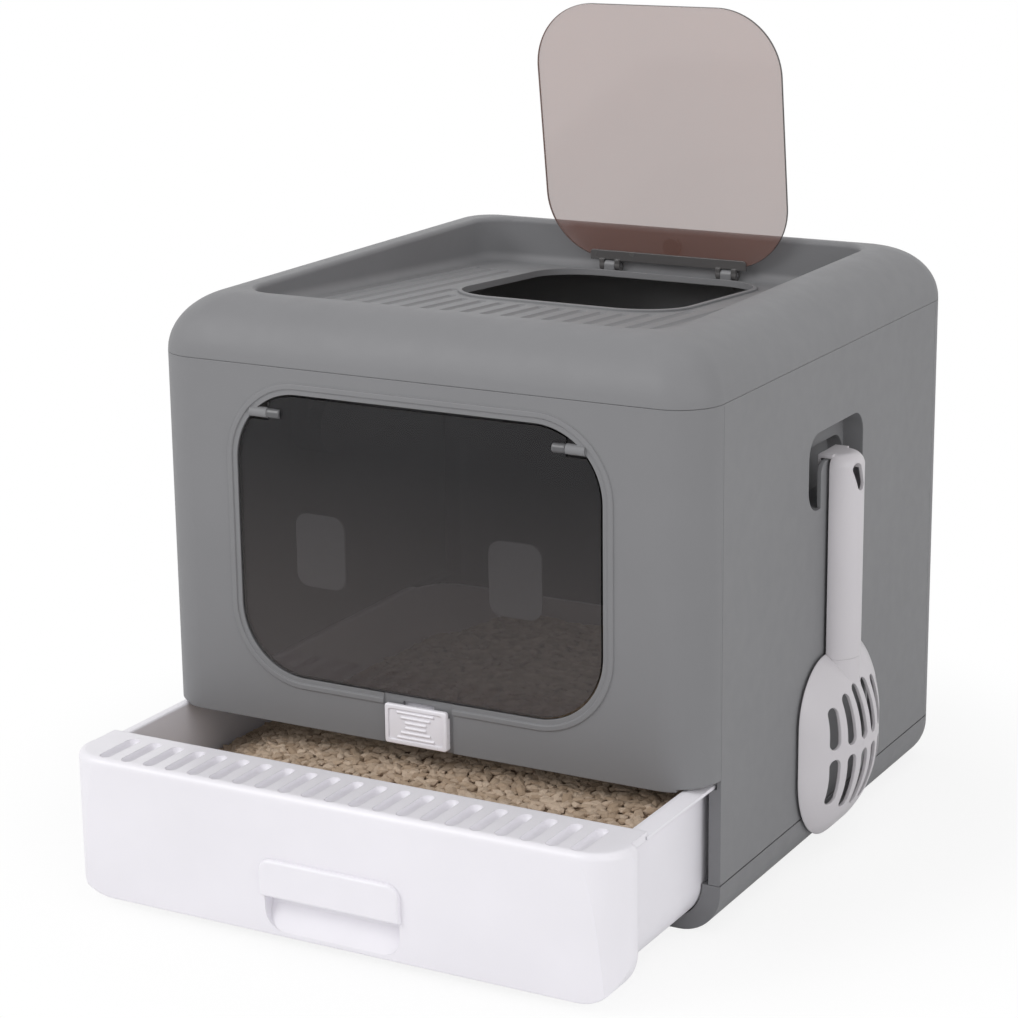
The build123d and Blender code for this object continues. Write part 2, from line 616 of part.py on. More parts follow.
def rounded_cap(shrink, drop):
    """The cover's pillow-shaped outer form, drawn in by shrink and lowered by drop."""
    sections = [rim_section(SEAM_HEIGHT - drop, shrink)]
    for share in (0.22, 0.42, 0.6, 0.75, 0.87, 0.95, 1.0):
        angle = share * math.pi / 2
        rise = (TOP_HEIGHT - SEAM_HEIGHT) * math.sin(angle)
        inset = RIM_ROUND * (1 - math.cos(angle))
        sections.append(rim_section(SEAM_HEIGHT + rise - drop, inset + shrink))
    return loft(sections)


def deck_recess(grow, drop):
    """The space above the deck: a rounded well with a sloping floor."""
    x = half_w - DECK_SIDE_INSET + grow
    y0 = -half_d + DECK_FRONT_INSET - grow
    y1 = half_d - DECK_REAR_INSET + grow
    well = plan_prism(x, y0, y1, DECK_RADIUS + grow, 0, 2 * TOP_HEIGHT)
    z0 = deck_level(-BODY_DEPTH) - drop
    z1 = deck_level(BODY_DEPTH) - drop
    below = Polyline((-BODY_DEPTH, z0), (BODY_DEPTH, z1), (BODY_DEPTH, 0), (-BODY_DEPTH, 0), close=True)
    well -= side_prism(make_face(below), -BODY_WIDTH, BODY_WIDTH)
    floor = well.faces().sort_by(Axis.Z)[0]
    return fillet(floor.edges(), DECK_FOOT_ROUND + grow)


def on_deck(x, y, shape):
    """A shape built about the origin, laid on the sloping deck at a place."""
    return Pos(x, y, deck_level(y)) * Rot(-DECK_SLOPE_DEG, 0, 0) * shape


def entry_shape(grow):
    """The top entry's rounded outline, grown outwards."""
    length = ENTRY_REAR - ENTRY_FRONT
    outline = RectangleRounded(ENTRY_WIDTH + 2 * grow, length + 2 * grow, ENTRY_RADIUS + grow)
    return outline


def make_cover():
    """Top cover: rounded rim, sloping grooved deck, lipped entry and a skirt inside the walls."""
    cover = rounded_cap(0, 0) - deck_recess(0, 0)
    top_edges = ShapeList()
    for edge in cover.edges():
        box = edge.bounding_box()
        flat_top = abs(box.min.Z - TOP_HEIGHT) < 0.01
        inside = max(abs(box.min.X), abs(box.max.X)) < half_w - DECK_SIDE_INSET + 0.1
        if flat_top and inside and max(abs(box.min.Y), abs(box.max.Y)) < half_d - DECK_REAR_INSET + 0.1:
            top_edges.append(edge)
    cover = fillet(top_edges, RIM_INNER_ROUND)
    cover -= rounded_cap(WALL, WALL) - deck_recess(WALL, WALL)
    cover -= plan_prism(half_w - WALL, -half_d + WALL, half_d - WALL, CORNER_RADIUS - WALL, SEAM_HEIGHT - 3 * WALL, SEAM_HEIGHT)
    skirt_in = WALL + SEAM_GAP
    skirt = plan_prism(half_w - skirt_in, -half_d + skirt_in, half_d - skirt_in, CORNER_RADIUS - skirt_in,
                       SEAM_HEIGHT - SKIRT_DEPTH, SEAM_HEIGHT + WALL)
    skirt_in += LAP_THICKNESS
    skirt -= plan_prism(half_w - skirt_in, -half_d + skirt_in, half_d - skirt_in, CORNER_RADIUS - skirt_in,
                        SEAM_HEIGHT - SKIRT_DEPTH - 1, SEAM_HEIGHT + WALL + 1)
    ledge = plan_prism(half_w - 1, -half_d + 1, half_d - 1, CORNER_RADIUS - 1, SEAM_HEIGHT, SEAM_HEIGHT + WALL)
    ledge -= plan_prism(half_w - skirt_in, -half_d + skirt_in, half_d - skirt_in, CORNER_RADIUS - skirt_in,
                        SEAM_HEIGHT - 1, SEAM_HEIGHT + WALL + 1)
    cover += skirt + ledge
    entry_y = (ENTRY_FRONT + ENTRY_REAR) / 2
    lip = Pos(0, 0, -WALL / 2) * extrude(entry_shape(LIP_WIDTH), WALL / 2 + LIP_HEIGHT)
    lip = fillet(lip.faces().sort_by(Axis.Z)[-1].edges(), LIP_HEIGHT / 2)
    cover += on_deck(0, entry_y, lip)
    hole = Pos(0, 0, -4 * WALL) * extrude(entry_shape(0), 8 * WALL)
    cover -= on_deck(0, entry_y, hole)
    cover -= deck_grooves()
    return cover


def deck_grooves():
    """Shallow grooves that run from front to back and stop short of the entry."""
    front = -half_d + DECK_FRONT_INSET + GROOVE_FRONT_MARGIN
    rear = half_d - DECK_REAR_INSET - GROOVE_REAR_MARGIN
    entry_half = ENTRY_WIDTH / 2 + LIP_WIDTH + GROOVE_ENTRY_MARGIN / 2
    count = int((half_w - DECK_SIDE_INSET - GROOVE_FRONT_MARGIN) / GROOVE_PITCH)
    groove_radius = (GROOVE_WIDTH**2 / 4 + GROOVE_DEPTH**2) / (2 * GROOVE_DEPTH)
    cutters = []
    for index in range(-count, count + 1):
        x = index * GROOVE_PITCH
        stop = rear
        if abs(x) < entry_half:
            into_corner = max(0.0, abs(x) - (ENTRY_WIDTH / 2 - ENTRY_RADIUS))
            bend = ENTRY_RADIUS + LIP_WIDTH
            stop = ENTRY_FRONT - LIP_WIDTH - GROOVE_ENTRY_MARGIN
            stop += bend - math.sqrt(max(bend**2 - into_corner**2, 0.0))
        groove = scooped_bar((stop - front) / 2, groove_radius, GROOVE_DEPTH)
        cutters.append(on_deck(x, (front + stop) / 2, groove))
    return cutters


# ---------------------------------------------------------------- top lid
lid_axis_y = half_d - DECK_REAR_INSET - LID_AXIS_REAR_GAP
lid_axis_z = deck_level(lid_axis_y) + LID_AXIS_RISE


def lean(shape):
    """Turn an upright lid piece forward about the lid's axis into its rest pose."""
    return shape.rotate(Axis((0, lid_axis_y, lid_axis_z), (1, 0, 0)), LID_LEAN_DEG)


def make_lid():
    """Smoked lid sheet with softly rounded corners."""
    z0 = lid_axis_z + LID_EDGE_OFFSET
    outline = Pos(0, z0 + LID_LENGTH / 2) * RectangleRounded(LID_WIDTH, LID_LENGTH, LID_RADIUS)
    sheet = front_prism(outline, lid_axis_y - LID_THICKNESS / 2, lid_axis_y + LID_THICKNESS / 2)
    faces = sheet.faces().sort_by(Axis.Y)
    sheet = fillet(faces[0].edges() + faces[-1].edges(), LID_EDGE_ROUND)
    return lean(sheet)


def make_lid_rail():
    """Hinge rail gripping the lid's lower edge, with two pairs of arms."""
    z0 = lid_axis_z + LID_EDGE_OFFSET
    front = lid_axis_y - LID_THICKNESS / 2 - LID_RAIL_GAP
    half = LID_RAIL_WIDTH / 2
    rail = block(-half, half, front - LID_RAIL_THICKNESS, front, z0 - LID_RAIL_THICKNESS, z0 + LID_RAIL_HEIGHT)
    rail += block(-half + LID_RADIUS / 3, half - LID_RADIUS / 3, front - 1, lid_axis_y + LID_THICKNESS / 2,
                  z0 - LID_RAIL_THICKNESS, z0 - LID_RAIL_GAP)
    rail = fillet(rail.edges().filter_by(Axis.Y).group_by(Axis.Z)[-1], LID_RAIL_CORNER)
    bracket_half = LID_BRACKET_WIDTH / 2 + LID_ARM_GAP
    for side in (-1, 1):
        for hand in (-1, 1):
            x0 = side * LID_HINGE_SPREAD + hand * bracket_half
            x1 = x0 + hand * LID_ARM_WIDTH
            low, high = min(x0, x1), max(x0, x1)
            arm = pin_at(low, high, LID_ARM_RADIUS, lid_axis_y, lid_axis_z)
            arm += block(low, high, lid_axis_y - LID_ARM_RADIUS + 0.4, lid_axis_y + LID_THICKNESS / 2, lid_axis_z, z0 - LID_RAIL_GAP)
            arm -= pin_at(low - 1, high + 1, LID_PIN_RADIUS + RUNNING_GAP, lid_axis_y, lid_axis_z)
            rail += arm
        x0 = side * LID_HINGE_SPREAD - bracket_half
        rail -= block(x0, x0 + 2 * bracket_half, lid_axis_y - 2 * LID_ARM_RADIUS, lid_axis_y + LID_ARM_RADIUS,
                      lid_axis_z - LID_ARM_RADIUS, lid_axis_z + LID_ARM_RADIUS + 2 * LID_ARM_GAP)
    return lean(rail)


def make_lid_brackets():
    """Two bracket blocks on the deck, bored for the lid pins."""
    blocks = []
    for side in (-1, 1):
        x0 = side * LID_HINGE_SPREAD - LID_BRACKET_WIDTH / 2
        x1 = x0 + LID_BRACKET_WIDTH
        bracket = pin_at(x0, x1, LID_ARM_RADIUS, lid_axis_y, lid_axis_z)
        foot = block(x0, x1, lid_axis_y - LID_ARM_RADIUS, lid_axis_y + LID_ARM_RADIUS, lid_axis_z - LID_FOOT_DEPTH, lid_axis_z)
        bracket += foot
        bracket &= deck_recess(-SEAT_GAP, -SEAT_GAP)
        bracket -= pin_at(x0 - 1, x1 + 1, LID_PIN_RADIUS + RUNNING_GAP / 3, lid_axis_y, lid_axis_z)
        blocks.append(bracket)
    return Compound(children=blocks)


def make_lid_pins():
    """The two lid pins, one pair of identical solids."""
    half = LID_BRACKET_WIDTH / 2 + LID_ARM_GAP + LID_ARM_WIDTH - 0.2
    pins = []
    for side in (-1, 1):
        x = side * LID_HINGE_SPREAD
        pins.append(pin_at(x - half, x + half, LID_PIN_RADIUS, lid_axis_y, lid_axis_z))
    return Compound(children=pins)


def make_bumper():
    """Round rubber stop on the rim's rear inner wall, which the open lid leans on."""
    back = math.radians(LID_BACK_DEG - LID_LEAN_DEG)
    reach = BUMPER_RISE + BUMPER_RADIUS
    face_y = lid_axis_y + LID_THICKNESS / 2 / math.cos(back) + reach * math.tan(back) + BUMPER_GAP
    wall_y = half_d - DECK_REAR_INSET
    depth = wall_y - face_y
    bumper = Pos(0, (wall_y + face_y) / 2, lid_axis_z + BUMPER_RISE) * Rot(90, 0, 0) * Cylinder(BUMPER_RADIUS, depth)
    return fillet(bumper.edges().group_by(Axis.Y)[0], BUMPER_ROUND)


# ---------------------------------------------------------------- drawer
def make_tray():
    """Litter pan: thin walls, rounded lower corners and a side flange that rides the ledges."""
    front = drawer_inner_front - TRAY_WALL
    rear = front + TRAY_LENGTH
    z0 = BASE_FLOOR + TRAY_FLOOR_GAP
    half = rim_x - TRAY_SIDE_GAP
    centre_cut = front - 3 * TRAY_REAR_RADIUS
    outer = plan_prism(half, centre_cut, rear, TRAY_REAR_RADIUS, z0, TRAY_REAR_TOP)
    outer = fillet(lowest_edges(outer, z0), TRAY_BOTTOM_ROUND)
    outer -= block(-BODY_WIDTH, BODY_WIDTH, centre_cut - 1, front, 0, BODY_WIDTH)
    inner = plan_prism(half - TRAY_WALL, centre_cut, rear - TRAY_WALL, TRAY_REAR_RADIUS - TRAY_WALL, z0 + TRAY_WALL, BODY_WIDTH)
    inner = fillet(lowest_edges(inner, z0 + TRAY_WALL), TRAY_BOTTOM_ROUND - TRAY_WALL)
    inner -= block(-BODY_WIDTH, BODY_WIDTH, centre_cut - 1, drawer_inner_front, 0, 2 * BODY_WIDTH)
    tray = outer - inner
    profile = Polyline(
        (half - TRAY_WALL, FLANGE_BOTTOM),
        (half - TRAY_WALL, TRAY_RIM_TOP - TRAY_RIM_CHAMFER),
        (half - TRAY_WALL + TRAY_RIM_CHAMFER, TRAY_RIM_TOP),
        (half + TRIM, TRAY_RIM_TOP),
        (half + FLANGE_REACH, FLANGE_BOTTOM + FLANGE_EDGE),
        (half + FLANGE_REACH, FLANGE_BOTTOM),
        close=True,
    )
    flange_front = drawer_inner_front
    flange_rear = min(rear - TRAY_REAR_RADIUS, corner_y - LAP_WIDTH - DRAWER_OPEN - 2 * TRAY_SIDE_GAP)
    flange = front_prism(make_face(profile), flange_front, flange_rear)
    tray += flange + mirror(flange, Plane.YZ)
    return tray


def step_outer():
    """Outer form of the drawer's front step, without its grip."""
    rear = drawer_inner_front - STEP_NECK
    front = drawer_inner_front - STEP_DEPTH
    half = half_w
    plan = plan_prism(half, front, rear + 3 * STEP_CORNER, STEP_CORNER, STEP_BOTTOM, STEP_TOP)
    plan -= block(-BODY_WIDTH, BODY_WIDTH, rear, rear + 4 * STEP_CORNER, 0, BODY_WIDTH)
    height = 4 * STEP_BOTTOM_ROUND
    outline = Pos(0, STEP_BOTTOM + height / 2) * RectangleRounded(2 * half, height, STEP_BOTTOM_ROUND)
    plan &= front_prism(outline, front - 10, rear + 10)
    lean_top = STEP_TOP - STEP_LEAN_START
    lean_cut = Polyline((front, lean_top), (front + STEP_LEAN, STEP_BOTTOM - TRIM),
                        (front - STEP_DEPTH, STEP_BOTTOM - TRIM), (front - STEP_DEPTH, lean_top), close=True)
    plan -= side_prism(make_face(lean_cut), -BODY_WIDTH, BODY_WIDTH)
    rim_edges = ShapeList()
    for edge in plan.edges():
        box = edge.bounding_box()
        if abs(box.min.Z - STEP_TOP) < 0.01 and abs(box.min.Y - rear) > 0.01:
            rim_edges.append(edge)
    return fillet(rim_edges, STEP_TOP_ROUND)


def make_step():
    """Drawer front: fluted step, rounded fascia, grip blister and finger recess, open behind."""
    rear = drawer_inner_front - STEP_NECK
    front = drawer_inner_front - STEP_DEPTH
    tray_half = rim_x - TRAY_SIDE_GAP
    tray_bottom = BASE_FLOOR + TRAY_FLOOR_GAP
    wall_front = drawer_inner_front - TRAY_WALL
    neck_height = STEP_TOP + 2 * TRAY_BOTTOM_ROUND
    neck_shape = Pos(0, tray_bottom + neck_height / 2) * RectangleRounded(2 * tray_half, neck_height, TRAY_BOTTOM_ROUND)
    neck = front_prism(neck_shape, rear - STEP_SHELL, wall_front)
    neck -= block(-BODY_WIDTH, BODY_WIDTH, rear - 20, wall_front + 1, STEP_TOP - 1, BODY_WIDTH)
    flange_half = tray_half + FLANGE_REACH
    plate = block(-flange_half, flange_half, rear - 1, drawer_inner_front, FLANGE_BOTTOM, STEP_TOP)
    plate -= block(-BODY_WIDTH, BODY_WIDTH, wall_front, drawer_inner_front + 1, 0, TRAY_REAR_TOP)
    outer = step_outer()
    grip_back = front + STEP_LEAN
    low_y = fascia_y(front, GRIP_BOTTOM) - GRIP_PROUD
    high_y = fascia_y(front, GRIP_TOP) - GRIP_PROUD
    grip_side = Polyline((low_y, GRIP_BOTTOM), (high_y, GRIP_TOP), (grip_back, GRIP_TOP), (grip_back, GRIP_BOTTOM),
                         close=True)
    grip = side_prism(make_face(grip_side), -GRIP_WIDTH / 2, GRIP_WIDTH / 2)
    grip = fillet(grip.edges().filter_by(Axis.Y).group_by(Axis.Z)[-1], GRIP_ROUND)
    grip = fillet(grip.faces().sort_by(Axis.Y)[0].edges(), GRIP_EDGE_ROUND)
    hollow = step_void(front, rear, tray_half, wall_front)
    step = outer + neck + plate - hollow
    step += grip
    step -= finger_dent(front)
    flute_front = front + FLUTE_FRONT_MARGIN
    flute_rear = drawer_inner_front - FLUTE_REAR_MARGIN
    flute = scooped_bar((flute_rear - flute_front) / 2, FLUTE_RADIUS, FLUTE_DEPTH)
    for index in range(FLUTE_COUNT):
        x = (index - (FLUTE_COUNT - 1) / 2) * FLUTE_PITCH
        step -= Pos(x, (flute_front + flute_rear) / 2, STEP_TOP) * flute
    return step


def fascia_y(front, z):
    """Where the leaning fascia's face is at a height."""
    lean_top = STEP_TOP - STEP_LEAN_START
    return front + STEP_LEAN * (lean_top - z) / (lean_top - STEP_BOTTOM + TRIM)


def finger_dent(front):
    """The finger recess under the grip: deep at the top, running out towards the bottom."""
    foot_y = fascia_y(front, DENT_BOTTOM)
    ahead = front - DENT_DEPTH
    back = front + DENT_DEPTH
    side = Polyline((ahead, GRIP_BOTTOM), (back, GRIP_BOTTOM), (back, DENT_BEND), (foot_y, DENT_BOTTOM),
                    (ahead, DENT_BOTTOM), close=True)
    half = GRIP_WIDTH / 2 - DENT_INSET
    height = 2 * (GRIP_BOTTOM - DENT_BOTTOM)
    outline = Pos(0, DENT_BOTTOM + height / 2) * RectangleRounded(2 * half, height, DENT_CORNER)
    return side_prism(make_face(side), -half, half) & front_prism(outline, ahead, back + TRIM)


def step_void(front, rear, tray_half, wall_front):
    """The hollow inside the drawer front, with material left round the finger recess."""
    half = half_w - STEP_SHELL
    y0 = front + STEP_LEAN + STEP_SHELL
    space = plan_prism(half, y0, rear + 3 * STEP_CORNER, STEP_CORNER - STEP_SHELL, -1, STEP_TOP - STEP_TOP_SHELL)
    space -= block(-BODY_WIDTH, BODY_WIDTH, rear, rear + 4 * STEP_CORNER, -2, BODY_WIDTH)
    height = 4 * STEP_BOTTOM_ROUND
    outline = Pos(0, STEP_BOTTOM + STEP_SHELL + height / 2) * RectangleRounded(2 * half, height, STEP_BOTTOM_ROUND - STEP_SHELL)
    space &= front_prism(outline, front - 10, rear + 10)
    tray_bottom = BASE_FLOOR + TRAY_FLOOR_GAP
    neck_height = STEP_TOP + 2 * TRAY_BOTTOM_ROUND
    neck_shape = Pos(0, tray_bottom + STEP_SHELL + neck_height / 2) * RectangleRounded(
        2 * (tray_half - STEP_SHELL), neck_height, TRAY_BOTTOM_ROUND - STEP_SHELL)
    neck = front_prism(neck_shape, rear - 2 * STEP_SHELL, wall_front + 1)
    neck -= block(-BODY_WIDTH, BODY_WIDTH, rear - 20, wall_front + 2, STEP_TOP - STEP_TOP_SHELL, BODY_WIDTH)
    space += neck
    space -= block(-GRIP_WIDTH / 2, GRIP_WIDTH / 2, front - 1, front + DENT_DEPTH + STEP_SHELL, -2, GRIP_BOTTOM + STEP_SHELL)
    return space


def make_litter():
    """The bed of litter: full at the right, falling away at the left."""
    tray_half = rim_x - TRAY_SIDE_GAP - TRAY_WALL - LITTER_GAP
    rear = drawer_inner_front - TRAY_WALL + TRAY_LENGTH - TRAY_WALL - LITTER_GAP
    front = drawer_inner_front + LITTER_GAP
    z0 = BASE_FLOOR + TRAY_FLOOR_GAP + TRAY_WALL + LITTER_GAP
    bed = plan_prism(tray_half, front - 3 * TRAY_REAR_RADIUS, rear, TRAY_REAR_RADIUS - TRAY_WALL, z0, LITTER_HIGH)
    bed = fillet(lowest_edges(bed, z0), TRAY_BOTTOM_ROUND - TRAY_WALL)
    bed -= block(-BODY_WIDTH, BODY_WIDTH, front - 4 * TRAY_REAR_RADIUS, front, 0, BODY_WIDTH)
    slope_end = -tray_half + LITTER_SLOPE_WIDTH
    fall = Polyline((-tray_half - 1, LITTER_LOW), (slope_end, LITTER_HIGH - LITTER_FALL), (tray_half + 1, LITTER_HIGH),
                    (tray_half + 1, BODY_WIDTH), (-tray_half - 1, BODY_WIDTH), close=True)
    return bed - front_prism(make_face(fall), -2 * BODY_DEPTH, BODY_DEPTH)


# ---------------------------------------------------------------- scoop
def half_round(width, depth, margin):
    """A half-oval outline in plan, open side towards -X, drawn in by margin."""
    oval = Ellipse(depth - margin, width / 2 - margin)
    return oval & (Pos(depth, 0) * Rectangle(2 * depth, 2 * width))


def handle_bar(z0, z1, margin):
    """A half-oval bar standing at the scoop's place."""
    return Pos(scoop_plane, SCOOP_CENTRE, z0) * extrude(half_round(HANDLE_WIDTH, HANDLE_DEPTH, margin), z1 - z0)


def make_scoop_handle():
    """Half-tube handle with a closed top, a hook behind it and a hang slot."""
    hook_bottom = TONGUE_TAB_TOP + HOOK_SEAT_GAP
    top = hook_bottom + HOOK_THICKNESS
    handle = handle_bar(HANDLE_BOTTOM, top, 0)
    handle = fillet(handle.faces().sort_by(Axis.Z)[-1].edges().sort_by(Axis.X)[-1:], HANDLE_TOP_ROUND)
    handle -= handle_bar(HANDLE_BOTTOM - 1, hook_bottom - HANDLE_TOP_ROUND + SCOOP_WALL, SCOOP_WALL)
    lip_x = half_w - WALL - HOOK_BACK_GAP
    y0 = SCOOP_CENTRE - HOOK_WIDTH / 2
    y1 = SCOOP_CENTRE + HOOK_WIDTH / 2
    hook = block(lip_x - HOOK_LIP_THICKNESS, scoop_plane + 1, y0, y1, hook_bottom, top)
    hook += block(lip_x - HOOK_LIP_THICKNESS, lip_x, y0, y1, hook_bottom - HOOK_LIP, top)
    hook = fillet(hook.edges().filter_by(Axis.Y).sort_by(Axis.X)[0:2].sort_by(Axis.Z)[-1:], HOOK_ROUND)
    handle += hook
    slot = SlotOverall(HANG_SLOT_LENGTH, HANG_SLOT_WIDTH, rotation=HANG_SLOT_TILT)
    place = Pos(SCOOP_CENTRE - HANG_SLOT_SHIFT, top - HANG_SLOT_DROP)
    return handle - side_prism(place * slot, scoop_plane + 2, scoop_plane + 2 * HANDLE_DEPTH)


def bowl_form(margin):
    """The scoop bowl's spoon-shaped dome, drawn in by margin all round."""
    centre = (HEAD_BOTTOM + HEAD_TOP) / 2
    width = HEAD_WIDTH - 2 * margin
    height = HEAD_TOP - HEAD_BOTTOM - 2 * margin
    sections = []
    for reach in (1.0, 0.95, 0.86, 0.74, 0.6, 0.44, 0.28, 0.14):
        shape = Rectangle(width * reach, height * reach)
        shape = fillet(shape.vertices().group_by(Axis.Y)[0], (HEAD_TOE_RADIUS - margin) * reach)
        shape = fillet(shape.vertices().group_by(Axis.Y)[-1], (HEAD_SHOULDER_RADIUS - margin) * reach)
        depth = (HEAD_DEPTH - margin) * (1 - reach**2) ** HEAD_DOME_POWER
        sections.append(Plane.YZ.offset(scoop_plane + depth) * (Pos(SCOOP_CENTRE, centre) * shape))
    return loft(sections)


def make_scoop_head():
    """Slotted scoop bowl, opening towards the cabin, with a neck and spigot for the handle."""
    head = bowl_form(0)
    head += handle_bar(HEAD_TOP - NECK_LENGTH, HANDLE_BOTTOM - SEAT_GAP, 0)
    inner = bowl_form(SCOOP_WALL)
    inner += handle_bar(HEAD_TOP - 1.2 * NECK_LENGTH, HANDLE_BOTTOM + TRIM, SCOOP_WALL)
    head -= inner
    head -= handle_bar(HANDLE_BOTTOM - SEAT_GAP, HEAD_TOP + SCOOP_WALL, -SEAM_GAP)
    spigot = handle_bar(HANDLE_BOTTOM - SPIGOT_LENGTH, HANDLE_BOTTOM + SPIGOT_LENGTH, SCOOP_WALL + SPIGOT_GAP)
    spigot -= handle_bar(HANDLE_BOTTOM - SPIGOT_LENGTH - 1, HANDLE_BOTTOM + SPIGOT_LENGTH + 1, 2 * SCOOP_WALL)
    collar = handle_bar(HANDLE_BOTTOM - SPIGOT_LENGTH, HANDLE_BOTTOM - SEAT_GAP, SCOOP_WALL / 5)
    collar -= handle_bar(HANDLE_BOTTOM - SPIGOT_LENGTH - 1, HANDLE_BOTTOM, 2 * SCOOP_WALL)
    head += spigot + collar
    for index in range(SLOT_COUNT):
        y = SCOOP_CENTRE + (index - (SLOT_COUNT - 1) / 2) * SLOT_PITCH
        share = math.sqrt(1 - ((y - SCOOP_CENTRE) / SLOT_REACH) ** 2)
        for side, longest in ((1, SLOT_UPPER), (-1, SLOT_LOWER)):
            length = longest * share
            z = SLOT_SPLIT + side * (SLOT_BAR + length) / 2
            slot = Pos(y, z) * SlotOverall(length, SLOT_WIDTH, rotation=90)
            head -= side_prism(slot, scoop_plane + SLOT_BAR, scoop_plane + 2 * HEAD_DEPTH)
    return head


# ---------------------------------------------------------------- write the parts
right_panel = make_side_panel()
right_hub = make_door_hub()
save(make_base(), "base")
save(right_panel, "right_side_panel")
save(mirror(right_panel, Plane.YZ), "left_side_panel")
save(make_front_panel(), "front_panel")
save(make_rear_panel(), "rear_panel")
save(make_cover(), "top_cover")
save(make_door(), "front_door")
save(right_hub, "right_door_hub")
save(mirror(right_hub, Plane.YZ), "left_door_hub")
save(make_door_pins(), "door_pins")
save(make_door_pads(), "door_pads")
save(make_latch(), "door_latch")
save(make_back_plate(), "latch_back_plate")
save(make_lid(), "top_lid")
save(make_lid_rail(), "lid_hinge_rail")
save(make_lid_brackets(), "lid_brackets")
save(make_lid_pins(), "lid_pins")
save(make_bumper(), "lid_bumper")
save(make_tray(), "drawer_tray")
save(make_step(), "drawer_front")
save(make_litter(), "litter_bed")
save(make_scoop_handle(), "scoop_handle")
save(make_scoop_head(), "scoop_head")
print("door axis y", round(door_axis_y, 2), "lid axis", round(lid_axis_y, 2), round(lid_axis_z, 2))
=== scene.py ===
# %% [markdown]
# # A drawer litter box, dressed for a product photograph
#
# The box is a grey cabin with a white drawer, a smoked door and lid, and a scoop hung
# on its side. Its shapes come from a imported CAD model, loaded as a fixed frame.
# This script gives each surface a procedural material, lays loose litter in the
# drawer, and sets up a pale studio with soft light and one camera.
# Everything is in metres: X to the right, the front faces -Y, Z is up.

import math
import random

import bmesh
import bpy
from mathutils import Matrix, Vector


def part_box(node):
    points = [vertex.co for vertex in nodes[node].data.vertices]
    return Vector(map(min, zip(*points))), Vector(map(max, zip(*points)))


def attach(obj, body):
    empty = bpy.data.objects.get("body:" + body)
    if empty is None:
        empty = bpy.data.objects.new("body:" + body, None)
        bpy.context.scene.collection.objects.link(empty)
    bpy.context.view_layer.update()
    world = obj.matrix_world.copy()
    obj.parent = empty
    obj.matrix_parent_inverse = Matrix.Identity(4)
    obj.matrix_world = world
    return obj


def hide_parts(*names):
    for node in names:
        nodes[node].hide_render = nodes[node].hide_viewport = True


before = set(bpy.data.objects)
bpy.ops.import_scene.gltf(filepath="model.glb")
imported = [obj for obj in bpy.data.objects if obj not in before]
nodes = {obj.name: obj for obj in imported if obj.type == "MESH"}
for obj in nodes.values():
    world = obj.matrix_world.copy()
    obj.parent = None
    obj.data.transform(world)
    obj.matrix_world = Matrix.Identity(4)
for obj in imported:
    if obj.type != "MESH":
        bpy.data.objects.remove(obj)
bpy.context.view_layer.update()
print("nodes:", len(nodes))

# %% [markdown]
# ## Helpers for materials
#
# The box is moulded plastic, with steel pins in its hinges and plant-fibre litter in
# its drawer. Pictures of such surfaces could be wrapped round the pieces, but every
# mesh would need unwrapping. Each material here is one Principled shader fed by noise
# in object coordinates, which needs no unwrapping and stays put from any side.
# A size in metres becomes a noise scale by taking one over it.

# %% A material and its noise
def new_material(name):
    """An empty material: its tree, its Principled shader and object coordinates."""
    mat = bpy.data.materials.new(name)
    mat.use_nodes = True
    tree = mat.node_tree
    shader = tree.nodes["Principled BSDF"]
    coords = tree.nodes.new("ShaderNodeTexCoord")
    return mat, tree, shader, coords.outputs["Object"]


def noise(tree, coords, size, detail=3.0, stretch=(1, 1, 1)):
    """Noise whose blobs are about size metres across."""
    mapping = tree.nodes.new("ShaderNodeMapping")
    mapping.inputs["Scale"].default_value = stretch
    tree.links.new(coords, mapping.inputs["Vector"])
    tex = tree.nodes.new("ShaderNodeTexNoise")
    tex.inputs["Scale"].default_value = 1.0 / size
    tex.inputs["Detail"].default_value = detail
    tree.links.new(mapping.outputs["Vector"], tex.inputs["Vector"])
    return tex.outputs["Fac"]


# %% [markdown]
# ## Ranges
#
# Most finishes come down to the same question: how far along is a value between a
# start and an end? A colour ramp could answer it, but a Map Range node does so with
# plain numbers, and it clamps what lies outside. Noise is nominally 0 to 1, yet it
# hardly ever leaves its middle, so spread stretches only that middle.

# %% Ranges
NOISE_SPAN = (0.3, 0.7)


def map_range(tree, value, start, end, low=0.0, high=1.0):
    """Maps value so that start becomes low and end becomes high."""
    node = tree.nodes.new("ShaderNodeMapRange")
    node.inputs["From Min"].default_value = start
    node.inputs["From Max"].default_value = end
    node.inputs["To Min"].default_value = low
    node.inputs["To Max"].default_value = high
    tree.links.new(value, node.inputs["Value"])
    return node.outputs["Result"]


def spread(tree, value, low, high):
    """Maps a noise value's usual span onto low to high."""
    return map_range(tree, value, *NOISE_SPAN, low, high)


# %% [markdown]
# ## Colours and bumps
#
# Real plastic is never one flat colour, and its skin is never quite smooth. Two
# colours are mixed by noise, or one is laid over another where a mask says so. The
# skin could be modelled, but at a few hundredths of a millimetre it only tilts the
# light, so a Bump node given its real height is enough.

# %% Colours and bumps
def mix_node(tree, fac):
    """A Mix node for colours, driven by fac."""
    node = tree.nodes.new("ShaderNodeMix")
    node.data_type = "RGBA"
    tree.links.new(fac, node.inputs["Factor"])
    return node


def blend_colour(tree, fac, a, b):
    """A colour between a and b."""
    node = mix_node(tree, fac)
    node.inputs["A"].default_value = (*a, 1)
    node.inputs["B"].default_value = (*b, 1)
    return node.outputs["Result"]


def paint_over(tree, fac, under, colour):
    """What lies under, covered with colour as far as fac says."""
    node = mix_node(tree, fac)
    tree.links.new(under, node.inputs["A"])
    node.inputs["B"].default_value = (*colour, 1)
    return node.outputs["Result"]


